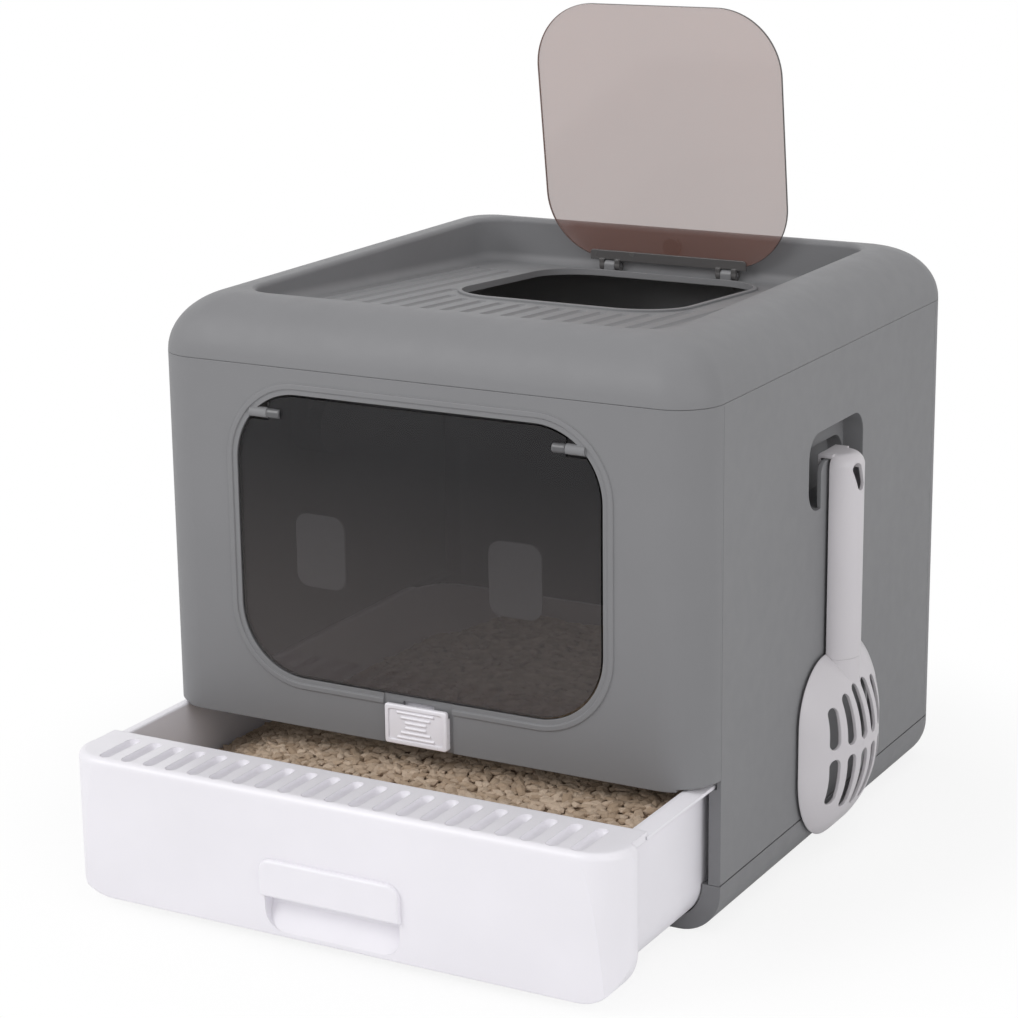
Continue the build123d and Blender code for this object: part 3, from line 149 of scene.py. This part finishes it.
def add_bump(tree, shader, height, distance):
    """A bump of that real height, in metres."""
    node = tree.nodes.new("ShaderNodeBump")
    node.inputs["Distance"].default_value = distance
    node.inputs["Strength"].default_value = 1.0
    tree.links.new(height, node.inputs["Height"])
    tree.links.new(node.outputs["Normal"], shader.inputs["Normal"])
    return node


# %% [markdown]
# ## Edges of moulded plastic
#
# A moulded edge is never quite sharp: it catches a thin line of light and rubs paler.
# Rounding every edge of the meshes would change the CAD pieces. The Bevel node gives
# the normal that a small round would have, and leaves the mesh alone. Where that
# normal turns away from the flat one, there is an edge, and it is painted paler.

# %% Edges of moulded plastic
EDGE_ROUND = 0.0009
EDGE_SAMPLES = 6
EDGE_STARTS, EDGE_FULL = 0.995, 0.8
WORN_COLOUR = (0.9, 0.9, 0.92)


def rounded_normal(tree):
    """The normal that a small round on every edge would have."""
    node = tree.nodes.new("ShaderNodeBevel")
    node.samples = EDGE_SAMPLES
    node.inputs["Radius"].default_value = EDGE_ROUND
    return node.outputs["Normal"]


def edge_mask(tree, rounded, most):
    """Nought on the flat, and up to most where the rounded normal turns away."""
    geometry = tree.nodes.new("ShaderNodeNewGeometry")
    agree = tree.nodes.new("ShaderNodeVectorMath")
    agree.operation = "DOT_PRODUCT"
    tree.links.new(rounded, agree.inputs[0])
    tree.links.new(geometry.outputs["Normal"], agree.inputs[1])
    return map_range(tree, agree.outputs["Value"], EDGE_STARTS, EDGE_FULL, 0.0, most)


# %% [markdown]
# ## Moulded plastic
#
# The cabin, the drawer, the latch and the scoop are all moulded, and differ in
# colour, gloss and skin. One function makes them all, so they stay a family. A broad
# cloud shifts the colour a little, a finer one varies the gloss, and a grain of about
# half a millimetre gives the tooled skin.

# %% Moulded plastic
CLOUD_SIZE, CLOUD_DEPTH = 0.09, 0.025
SHEEN_SIZE, SHEEN_DEPTH = 0.012, 0.04
GRAIN_SIZE, GRAIN_DETAIL = 0.0006, 2.0


def plastic(name, colour, rough, grain, worn=0.05, specular=0.5):
    """A moulded plastic. Grain is its skin's height, and worn how pale its edges are."""
    mat, tree, shader, coords = new_material(name)
    deep = [c * (1 - CLOUD_DEPTH) for c in colour]
    pale = [min(1.0, c * (1 + CLOUD_DEPTH)) for c in colour]
    cloud = spread(tree, noise(tree, coords, CLOUD_SIZE), 0, 1)
    tone = blend_colour(tree, cloud, deep, pale)
    rounded = rounded_normal(tree)
    edge = edge_mask(tree, rounded, worn)
    tree.links.new(paint_over(tree, edge, tone, WORN_COLOUR), shader.inputs["Base Color"])
    gloss = noise(tree, coords, SHEEN_SIZE)
    gloss = spread(tree, gloss, rough - SHEEN_DEPTH, rough + SHEEN_DEPTH)
    tree.links.new(gloss, shader.inputs["Roughness"])
    shader.inputs["Specular IOR Level"].default_value = specular
    bump = add_bump(tree, shader, noise(tree, coords, GRAIN_SIZE, GRAIN_DETAIL), grain)
    tree.links.new(rounded, bump.inputs["Normal"])
    return mat


# %% [markdown]
# ## The plastics of this box
#
# The cabin has a fine matt skin, and the white drawer and the scoop are smoother. The
# pads lie behind the smoked door, which darkens them, so they get a mid grey to show
# as faintly as in the photograph. The numbers could stand in each call, but a colour
# with a name can be held against the photograph and changed in one place. The four
# skins are heights of the grain in metres.

# %% The plastics of this box
CABIN_GREY = (0.210, 0.210, 0.218)
DRAWER_WHITE = (0.85, 0.832, 0.878)
LATCH_WHITE = (0.88, 0.86, 0.91)
SCOOP_GREY = (0.60, 0.575, 0.60)
RAIL_GREY = (0.12, 0.115, 0.115)
PAD_GREY = (0.33, 0.32, 0.335)
HUB_GREY = (0.10, 0.10, 0.105)
RUBBER_GREY = (0.09, 0.09, 0.095)
SMOOTH, SATIN, MATT, COARSE = 0.00001, 0.00002, 0.00004, 0.00005

shell_mat = plastic("grey_shell", CABIN_GREY, rough=0.52, grain=MATT, worn=0.06, specular=0.35)
bracket_mat = plastic("grey_hinge", CABIN_GREY, rough=0.38, grain=SATIN)
white_mat = plastic("white_drawer", DRAWER_WHITE, rough=0.34, grain=SMOOTH, worn=0.1)
latch_mat = plastic("white_latch", LATCH_WHITE, rough=0.3, grain=SMOOTH, worn=0.1)
scoop_mat = plastic("grey_scoop", SCOOP_GREY, rough=0.36, grain=SMOOTH, worn=0.08)
rail_mat = plastic("dark_hinge", RAIL_GREY, rough=0.25, grain=SMOOTH, worn=0.03)
pad_mat = plastic("dark_pads", PAD_GREY, rough=0.5, grain=SMOOTH, worn=0.0)
hub_mat = plastic("grey_hub", HUB_GREY, rough=0.2, grain=SMOOTH, worn=0.1)
rubber_mat = plastic("soft_rubber", RUBBER_GREY, rough=0.7, grain=COARSE, worn=0.02, specular=0.3)
print("plastics:", len(bpy.data.materials))

# %% [markdown]
# ## Masks for a smoked sheet
#
# The door and the lid are clear plastic tinted dark. Two places on them look
# different. Through the rim, light crosses far more plastic, so the rim is nearly
# black: it is where the surface turns away from front and back, which the Y of the
# object's own normal tells. The door's foot is paler in the photograph, with what it
# mirrors and lets through. That room can't be known from one picture, so a paler
# colour is painted there instead, a painted reflection that grows from REFLECTION_TOP
# down to REFLECTION_FOOT.

# %% Masks for a smoked sheet
# Painted reflection: the door is painted paler from the first height down to the second.
REFLECTION_TOP, REFLECTION_FOOT = 0.30, 0.15
RIM_STARTS, RIM_FULL = 0.95, 0.75


def axis_value(tree, vector, axis):
    """One axis of a vector."""
    node = tree.nodes.new("ShaderNodeSeparateXYZ")
    tree.links.new(vector, node.inputs["Vector"])
    return node.outputs[axis]


def painted_reflection_mask(tree, coords):
    """Grows towards the foot of the door, where the painted reflection lies."""
    return map_range(tree, axis_value(tree, coords, "Z"), REFLECTION_TOP, REFLECTION_FOOT)


def rim_mask(tree, coords):
    """One on the rim of a sheet that faces front and back."""
    flat = tree.nodes.new("ShaderNodeMath")
    flat.operation = "ABSOLUTE"
    tree.links.new(axis_value(tree, coords.node.outputs["Normal"], "Y"), flat.inputs[0])
    return map_range(tree, flat.outputs["Value"], RIM_STARTS, RIM_FULL)


# %% [markdown]
# ## Smoked plastic
#
# Transmission, as for glass, is the obvious way, but it renders noisily. A thin sheet
# hardly bends what lies behind it, so plain see-through by alpha looks the same.
# Light crosses two faces of the sheet, so each face lets through the square root of
# what the sheet does. A very low, very broad bump keeps its mirror a little alive.

# %% Smoked plastic
SHEET_IOR, SHEET_SPECULAR = 1.49, 0.4
RIM_COVER = 0.96
TINT_SIZE, TINT_DEPTH = 0.12, 0.08
POLISH_SIZE, POLISH_DEPTH = 0.04, 0.015
WAVE_SIZE, WAVE_HEIGHT = 0.09, 0.00002


def smoked(name, colour, passes, rough, rim, painted_reflection):
    """A tinted clear sheet. Passes is the share of light that gets through it."""
    mat, tree, shader, coords = new_material(name)
    tint = spread(tree, noise(tree, coords, TINT_SIZE), 0, 1)
    body = blend_colour(tree, tint, [c * (1 - TINT_DEPTH) for c in colour], colour)
    # Painted reflection: the sheet's colour turns paler towards its foot.
    body = paint_over(tree, painted_reflection_mask(tree, coords), body, painted_reflection)
    edge = rim_mask(tree, coords)
    tree.links.new(paint_over(tree, edge, body, rim), shader.inputs["Base Color"])
    cover = map_range(tree, edge, 0.0, 1.0, 1.0 - math.sqrt(passes), RIM_COVER)
    tree.links.new(cover, shader.inputs["Alpha"])
    gloss = spread(tree, noise(tree, coords, POLISH_SIZE), rough, rough + POLISH_DEPTH)
    tree.links.new(gloss, shader.inputs["Roughness"])
    shader.inputs["IOR"].default_value = SHEET_IOR
    shader.inputs["Specular IOR Level"].default_value = SHEET_SPECULAR
    add_bump(tree, shader, noise(tree, coords, WAVE_SIZE, detail=0.0), WAVE_HEIGHT)
    return mat


# %% [markdown]
# ## The door and the lid
#
# The door passes about a quarter of the light, so the dark cabin behind makes it
# nearly black. The lid passes over a third and is browner. Both could have a material
# written out in full, but they are one plastic in two strengths, so one function
# makes both. The door's foot gets a painted reflection, a paler colour. The lid shows
# none, so its reflection colour is the lid's own brown.

# %% The door and the lid
DOOR_BLACK, DOOR_RIM = (0.012, 0.011, 0.013), (0.01, 0.01, 0.01)
# The paler colour painted on the door's foot: a painted reflection of the room.
DOOR_PAINTED_REFLECTION = (0.085, 0.074, 0.073)
LID_BROWN, LID_RIM = (0.30, 0.155, 0.125), (0.06, 0.05, 0.05)
DOOR_PASSES, LID_PASSES = 0.27, 0.36
DOOR_ROUGH, LID_ROUGH = 0.03, 0.08

door_mat = smoked("smoked_door", DOOR_BLACK, DOOR_PASSES, DOOR_ROUGH, DOOR_RIM, DOOR_PAINTED_REFLECTION)
lid_mat = smoked("smoked_lid", LID_BROWN, LID_PASSES, LID_ROUGH, LID_RIM, LID_BROWN)
print("alpha of a face: door", round(1 - math.sqrt(DOOR_PASSES), 2))
print("alpha of a face: lid", round(1 - math.sqrt(LID_PASSES), 2))

# %% [markdown]
# ## Steel pins
#
# The hinges turn on short pins, taken here as drawn steel wire. Drawing leaves fine
# lines along the wire. They could be cut into the mesh, but they are thinner than a
# pixel, so stretched noise is enough: it runs long along X, as the pins do.

# %% Brushed steel
STEEL_DARK, STEEL_PALE = (0.52, 0.52, 0.54), (0.68, 0.68, 0.7)
LINE_WIDTH, LINE_HEIGHT = 0.0004, 0.00001
ALONG_X = (0.05, 1, 1)
STEEL_ROUGH = (0.22, 0.4)

steel_mat, tree, shader, coords = new_material("steel_pins")
shader.inputs["Metallic"].default_value = 1.0
lines = noise(tree, coords, LINE_WIDTH, detail=2.0, stretch=ALONG_X)
steel = blend_colour(tree, lines, STEEL_DARK, STEEL_PALE)
tree.links.new(steel, shader.inputs["Base Color"])
tree.links.new(spread(tree, lines, *STEEL_ROUGH), shader.inputs["Roughness"])
add_bump(tree, shader, lines, LINE_HEIGHT)
print("made", steel_mat.name)

# %% [markdown]
# ## Litter materials
#
# The litter is pressed plant fibre: pale tan crumbs, each a little different. A
# material for each tone would do, but Random Per Island gives every crumb its own
# tone from one material, because every crumb is a separate piece of mesh. The ground
# between the crumbs lies in their shade, so it gets a darker colour: painted shade.

# %% Litter materials
FIBRE_SIZE, FIBRE_SHOWS = 0.0012, 0.4
ROUGH_SIZE = 0.002
PIT_SIZE, PIT_DEPTH = 0.0009, 0.0003
FIBRE_ROUGH, FIBRE_SPECULAR = (0.75, 0.95), 0.2
CRUMB_DARK, CRUMB_PALE = (0.375, 0.277, 0.196), (0.61, 0.49, 0.383)
# The ground's darker tones are painted shade from the crumbs above it.
GROUND_SHADE_DARK, GROUND_SHADE_PALE = (0.17, 0.115, 0.075), (0.22, 0.15, 0.10)


def crumbly(name, dark, pale):
    """Dull fibre whose tone lies between dark and pale, and differs by island."""
    mat, tree, shader, coords = new_material(name)
    geometry = tree.nodes.new("ShaderNodeNewGeometry")
    tone = blend_colour(tree, geometry.outputs["Random Per Island"], dark, pale)
    fibre = spread(tree, noise(tree, coords, FIBRE_SIZE), 0, FIBRE_SHOWS)
    tree.links.new(paint_over(tree, fibre, tone, dark), shader.inputs["Base Color"])
    gloss = spread(tree, noise(tree, coords, ROUGH_SIZE), *FIBRE_ROUGH)
    tree.links.new(gloss, shader.inputs["Roughness"])
    shader.inputs["Specular IOR Level"].default_value = FIBRE_SPECULAR
    add_bump(tree, shader, noise(tree, coords, PIT_SIZE), PIT_DEPTH)
    return mat


litter_mat = crumbly("litter", CRUMB_DARK, CRUMB_PALE)
# Painted shade: the ground between the crumbs is coloured darker than the crumbs are.
shaded_ground_mat = crumbly("litter_ground", GROUND_SHADE_DARK, GROUND_SHADE_PALE)
print("made", litter_mat.name, "and", shaded_ground_mat.name)

# %% [markdown]
# ## Dressing the CAD pieces
#
# Each piece of the box is one moulding, sheet or pin, so each gets one material. A
# list could name the material of every piece, but the cabin's grey is the commonest,
# so the table names just the pieces that differ from it. A CAD piece keeps its mesh
# and its place, and only its material changes.

# %% Give each CAD piece its material
finish = {
    "lid_brackets": bracket_mat,
    "left_door_hub": hub_mat,
    "right_door_hub": hub_mat,
    "top_lid": lid_mat,
    "front_door": door_mat,
    "lid_hinge_rail": rail_mat,
    "door_pads": pad_mat,
    "lid_bumper": rubber_mat,
    "lid_pins": steel_mat,
    "door_pins": steel_mat,
    "door_latch": latch_mat,
    "latch_back_plate": latch_mat,
    "drawer_tray": white_mat,
    "drawer_front": white_mat,
    "litter_bed": litter_mat,
    "scoop_handle": scoop_mat,
    "scoop_head": scoop_mat,
}
for name, obj in nodes.items():
    obj.data.materials.clear()
    obj.data.materials.append(finish.get(name, shell_mat))
print("dressed", len(nodes), "CAD pieces")

# %% [markdown]
# ## Height of the litter
#
# The litter is nearly level, and falls away towards the left wall of the drawer, as
# in the photograph. It could be sculpted, but a formula gives the same height to the
# ground and to the crumbs that lie on it. An eased step makes the fall, a gentle
# slope goes across the whole bed, and two waves keep it from being flat.

# %% Height of the litter
low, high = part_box("litter_bed")
FALL_WIDTH = 0.085
LEFT_HEIGHT, FALL_HEIGHT, SLOPE_HEIGHT = 0.061, 0.025, 0.0055
RIPPLE_HEIGHT, SWELL_HEIGHT = 0.0012, 0.0008
RIPPLE_X, RIPPLE_Y, RIPPLE_SHIFT = 61, 53, 1.3
SWELL_X, SWELL_Y = 23, 37


def litter_height(x, y):
    """Top of the litter: nearly level at the right, falling away at the left."""
    across = min(1.0, max(0.0, (x - low.x) / FALL_WIDTH))
    ease = across * across * (3 - 2 * across)
    slope = SLOPE_HEIGHT * (x - low.x) / (high.x - low.x)
    top = LEFT_HEIGHT + FALL_HEIGHT * ease + slope
    ripple = RIPPLE_HEIGHT * math.sin(x * RIPPLE_X + RIPPLE_SHIFT) * math.cos(y * RIPPLE_Y)
    ripple += SWELL_HEIGHT * math.sin(x * SWELL_X - y * SWELL_Y)
    return top + ripple


print("height at the left wall:", round(litter_height(low.x, 0) * 1000), "mm")
print("height at the right wall:", round(litter_height(high.x, 0) * 1000), "mm")

# %% [markdown]
# ## Ground of the litter
#
# Under the loose crumbs lie more crumbs, which nobody sees. They needn't be made: a
# grid of the bed's size, whose points are lifted to the litter's height, closes the
# gaps between the top ones. It lies a little lower than they do, and stays just
# clear of the drawer's walls.

# %% Ground of the litter
WALL_CLEARANCE = 0.0006
GROUND_DROP = 0.0012
GRID_X, GRID_Y = 90, 96


def finish_mesh(bm, name, material, smooth=True):
    """Turns a bmesh into a scene object."""
    mesh = bpy.data.meshes.new(name)
    bm.to_mesh(mesh)
    bm.free()
    for face in mesh.polygons:
        face.use_smooth = smooth
    mesh.materials.append(material)
    obj = bpy.data.objects.new(name, mesh)
    bpy.context.collection.objects.link(obj)
    return obj


bed_size = high - low - Vector((2 * WALL_CLEARANCE, 2 * WALL_CLEARANCE, 0))
bed_centre = (low + high) / 2
bm = bmesh.new()
bmesh.ops.create_grid(bm, x_segments=GRID_X, y_segments=GRID_Y, size=0.5)
bmesh.ops.scale(bm, vec=(bed_size.x, bed_size.y, 1), verts=bm.verts)
bmesh.ops.translate(bm, vec=(bed_centre.x, bed_centre.y, 0), verts=bm.verts)
for vert in bm.verts:
    vert.co.z = litter_height(vert.co.x, vert.co.y) - GROUND_DROP
ground = finish_mesh(bm, "litter_ground", shaded_ground_mat)
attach(ground, "drawer")
print("litter bed", [round(v * 1000) for v in bed_size], "mm")

# %% [markdown]
# ## One crumb
#
# A crumb of litter is a crushed pellet, longer than wide and wider than thick. It
# could be a carved rock, but thousands of them are needed. So each is an icosphere of
# twenty faces, pulled long, pressed flat and knocked out of shape: no two are alike,
# and each stays cheap.

# %% One crumb
KNOCK = 0.16
CRUMB_FACES = 20
rng = random.Random(7)


def add_crumb(bm, centre, turn, size):
    """One crumb: size is its half length, half width and half thickness."""
    shape = Matrix.Translation(centre) @ turn.to_4x4() @ Matrix.Diagonal((*size, 1))
    crumb = bmesh.ops.create_icosphere(bm, subdivisions=1, radius=1.0, matrix=shape)
    for vert in crumb["verts"]:
        knock = 1 + rng.uniform(-KNOCK, KNOCK)
        vert.co = centre + (vert.co - centre) * knock


# %% [markdown]
# ## A row of crumbs
#
# Loose litter lies anyhow, yet covers the ground evenly. Dropping the crumbs with
# physics would take long and might settle differently each time. A jittered grid is
# even and always the same. Its pitch is a little less than the crumbs' width, so that
# they crowd and leave thin dark gaps. Every crumb turns freely and tilts slightly.

# %% A row of crumbs
CRUMB_PITCH = 0.0054
HALF_LENGTHS = (0.0042, 0.0068)
HALF_WIDTHS = (0.0029, 0.0042)
HALF_THICKNESSES = (0.0018, 0.0025)
JITTER = 0.5
LIFTS = (-0.0009, 0.0006)
TILT = 0.15
CRUMB_CLEARANCE = 0.0075


def keep_inside(value, start, end):
    """The value, moved to where a crumb there is clear of both walls."""
    return min(max(value, start + CRUMB_CLEARANCE), end - CRUMB_CLEARANCE)


def crumb_turn():
    """A free turn about the upright, and a slight tilt each way."""
    turn = Matrix.Rotation(rng.uniform(0, math.tau), 3, "Z")
    turn = turn @ Matrix.Rotation(rng.gauss(0, TILT), 3, "Y")
    return turn @ Matrix.Rotation(rng.gauss(0, TILT), 3, "X")


def crumb_row(y0):
    """One row of crumbs across the bed, as a mesh of its own."""
    row = bmesh.new()
    x0 = low.x + CRUMB_PITCH / 2
    while x0 < high.x:
        spans = (HALF_LENGTHS, HALF_WIDTHS, HALF_THICKNESSES)
        size = [rng.uniform(*span) for span in spans]
        x = keep_inside(x0 + rng.uniform(-JITTER, JITTER) * CRUMB_PITCH, low.x, high.x)
        y = keep_inside(y0 + rng.uniform(-JITTER, JITTER) * CRUMB_PITCH, low.y, high.y)
        lift = rng.uniform(*LIFTS)
        turn = crumb_turn()
        add_crumb(row, Vector((x, y, litter_height(x, y) + lift)), turn, size)
        x0 += CRUMB_PITCH
    return row


# %% [markdown]
# ## The whole bed
#
# Adding to a mesh gets slower as the mesh grows, so each row is made by itself and
# then joined to its group. Four groups keep each piece small enough to handle. They
# ride on the drawer, and with the ground they take the place of the plain CAD solid.

# %% The whole bed
CRUMB_GROUPS = 4
rows = int((high.y - low.y) / CRUMB_PITCH)
faces = 0
for group in range(CRUMB_GROUPS):
    bm = bmesh.new()
    for j in range(group * rows // CRUMB_GROUPS, (group + 1) * rows // CRUMB_GROUPS):
        row = crumb_row(low.y + (j + 0.5) * CRUMB_PITCH)
        scratch = bpy.data.meshes.new("row")
        row.to_mesh(scratch)
        row.free()
        bm.from_mesh(scratch)
        bpy.data.meshes.remove(scratch)
    faces += len(bm.faces)
    crumbs = finish_mesh(bm, f"litter_crumbs_{group}", litter_mat, False)
    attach(crumbs, "drawer")
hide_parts("litter_bed")
print("crumbs:", faces // CRUMB_FACES)

# %% [markdown]
# ## A floor that melts into white
#
# The box stands on a pale floor that melts into a white backdrop, as on a sweep of
# paper. A real sweep needs careful lighting to stay white. Here most of the floor's
# white is emission, seen by the camera only: somewhat less near the object, which
# keeps the soft contact shadow, and nothing else further out.

# %% Floor's glow
GLOW_NEAR, GLOW_FAR = 0.84, 1.0
SHADOW_REACH, FADE_REACH = 0.29, 0.47


def combine(tree, operation, a, b):
    """A Math node on two values."""
    node = tree.nodes.new("ShaderNodeMath")
    node.operation = operation
    tree.links.new(a, node.inputs[0])
    tree.links.new(b, node.inputs[1])
    return node.outputs["Value"]


def glow_share(tree, coords):
    """The floor's share of glow: for the camera only, and least near the object."""
    away = tree.nodes.new("ShaderNodeVectorMath")
    away.operation = "LENGTH"
    tree.links.new(coords, away.inputs[0])
    distance = away.outputs["Value"]
    fade = map_range(tree, distance, SHADOW_REACH, FADE_REACH, GLOW_NEAR, GLOW_FAR)
    fade.node.interpolation_type = "SMOOTHSTEP"
    rays = tree.nodes.new("ShaderNodeLightPath")
    return combine(tree, "MULTIPLY", rays.outputs["Is Camera Ray"], fade)


# %% [markdown]
# ## The floor itself
#
# The paper is dull and very slightly uneven in tone. It could be a finely bent sheet,
# but only its flat part shows, so one square face does, wide enough that its edge is
# lost in the white. Glow and paper are mixed by the share worked out above.

# %% Floor
FLOOR_HALF = 8
FLOOR_DEEP, FLOOR_PALE = (0.93, 0.93, 0.93), (0.95, 0.95, 0.95)
FLOOR_CLOUD = 0.4
FLOOR_ROUGH = 0.9

floor_mat, tree, shader, coords = new_material("floor")
shader.inputs["Roughness"].default_value = FLOOR_ROUGH
shader.inputs["Specular IOR Level"].default_value = 0.0
cloud = spread(tree, noise(tree, coords, FLOOR_CLOUD), 0, 1)
paper = blend_colour(tree, cloud, FLOOR_DEEP, FLOOR_PALE)
tree.links.new(paper, shader.inputs["Base Color"])
glow = tree.nodes.new("ShaderNodeEmission")
mixer = tree.nodes.new("ShaderNodeMixShader")
tree.links.new(glow_share(tree, coords), mixer.inputs["Fac"])
tree.links.new(shader.outputs["BSDF"], mixer.inputs[1])
tree.links.new(glow.outputs["Emission"], mixer.inputs[2])
tree.links.new(mixer.outputs["Shader"], tree.nodes["Material Output"].inputs["Surface"])

bm = bmesh.new()
bmesh.ops.create_grid(bm, x_segments=1, y_segments=1, size=FLOOR_HALF)
floor = finish_mesh(bm, "floor", floor_mat, False)
print("floor", 2 * FLOOR_HALF, "m wide")

# %% [markdown]
# ## The room
#
# Product photographs are often taken in a white tent, which lights every side alike.
# An even white world does the same without any walls. The camera, gloss and clear
# plastic see it at full white, and the surfaces are lit by less than that, so that the
# lamps still give the forms some direction.

# %% World
ROOM_LIGHT, ROOM_SEEN = 0.62, 1.0
world = bpy.data.worlds.new("room")
bpy.context.scene.world = world
world.use_nodes = True
tree = world.node_tree
background = tree.nodes["Background"]
background.inputs["Color"].default_value = (1, 1, 1, 1)
rays = tree.nodes.new("ShaderNodeLightPath")
camera_ray = rays.outputs["Is Camera Ray"]
seen = combine(tree, "MAXIMUM", camera_ray, rays.outputs["Is Transmission Ray"])
seen = combine(tree, "MAXIMUM", seen, rays.outputs["Is Glossy Ray"])
level = map_range(tree, seen, 0.0, 1.0, ROOM_LIGHT, ROOM_SEEN)
tree.links.new(level, background.inputs["Strength"])
print("room lights with", ROOM_LIGHT, "and is seen at", ROOM_SEEN)

# %% [markdown]
# ## Lamps
#
# The photograph's shadows are soft and faint, so its lamps were probably large. Small
# lamps would draw hard edges. Three large squares do here: the key from the upper
# left shows the forms, the fill lifts the right side, and one above lights the top.
# The table gives each lamp's place, its side in metres and its power in watts.

# %% Lamps
CENTRE = (0, -0.05, 0.2)
LAMPS = {
    "key": ((-1.5, -2.0, 1.9), 1.6, 29),
    "fill": ((2.4, -1.0, 1.2), 2.0, 15),
    "top": ((0.0, 0.2, 2.6), 2.0, 7),
}


def lamp(name, place, size, power):
    """A square soft lamp at place that looks at the object. Power is in watts."""
    data = bpy.data.lights.new(name, "AREA")
    data.size = size
    data.energy = power
    obj = bpy.data.objects.new(name, data)
    obj.location = place
    aim = Vector(CENTRE) - Vector(place)
    obj.rotation_euler = aim.to_track_quat("-Z", "Y").to_euler()
    bpy.context.collection.objects.link(obj)


for name, (place, size, power) in LAMPS.items():
    lamp(name, place, size, power)
print("lamps:", ", ".join(LAMPS))

# %% [markdown]
# ## Camera
#
# The picture is taken from where the photograph's camera stood. That place could be
# found by nudging the camera until the two pictures agree. Here it was solved from
# corners and edges of the box in the photograph: a yaw, a pitch, a small roll, a
# place, and a focal length in pixels of a 1018-pixel-wide picture. They become one
# matrix.

# %% Camera
PIXELS = 1018
FOCAL_PX = 2779.0
SENSOR_WIDTH = 36.0
YAW, PITCH, ROLL = (math.radians(d) for d in (29.096, 15.265, -0.703))
EYE = Vector((0.8898, -1.6860, 0.7362))

forward = Vector((
    -math.sin(YAW) * math.cos(PITCH),
    math.cos(YAW) * math.cos(PITCH),
    -math.sin(PITCH),
))
right = Vector((math.cos(YAW), math.sin(YAW), 0))
up = right.cross(forward)
rolled_right = right * math.cos(ROLL) + up * math.sin(ROLL)
rolled_up = up * math.cos(ROLL) - right * math.sin(ROLL)
data = bpy.data.cameras.new("camera")
data.sensor_width = SENSOR_WIDTH
data.lens = FOCAL_PX * SENSOR_WIDTH / PIXELS
camera = bpy.data.objects.new("camera", data)
turn = Matrix((rolled_right, rolled_up, -forward)).transposed().to_4x4()
camera.matrix_world = Matrix.Translation(EYE) @ turn
bpy.context.collection.objects.link(camera)
bpy.context.scene.camera = camera
bpy.context.scene.view_settings.view_transform = "Standard"
print("lens", round(data.lens, 2), "mm")
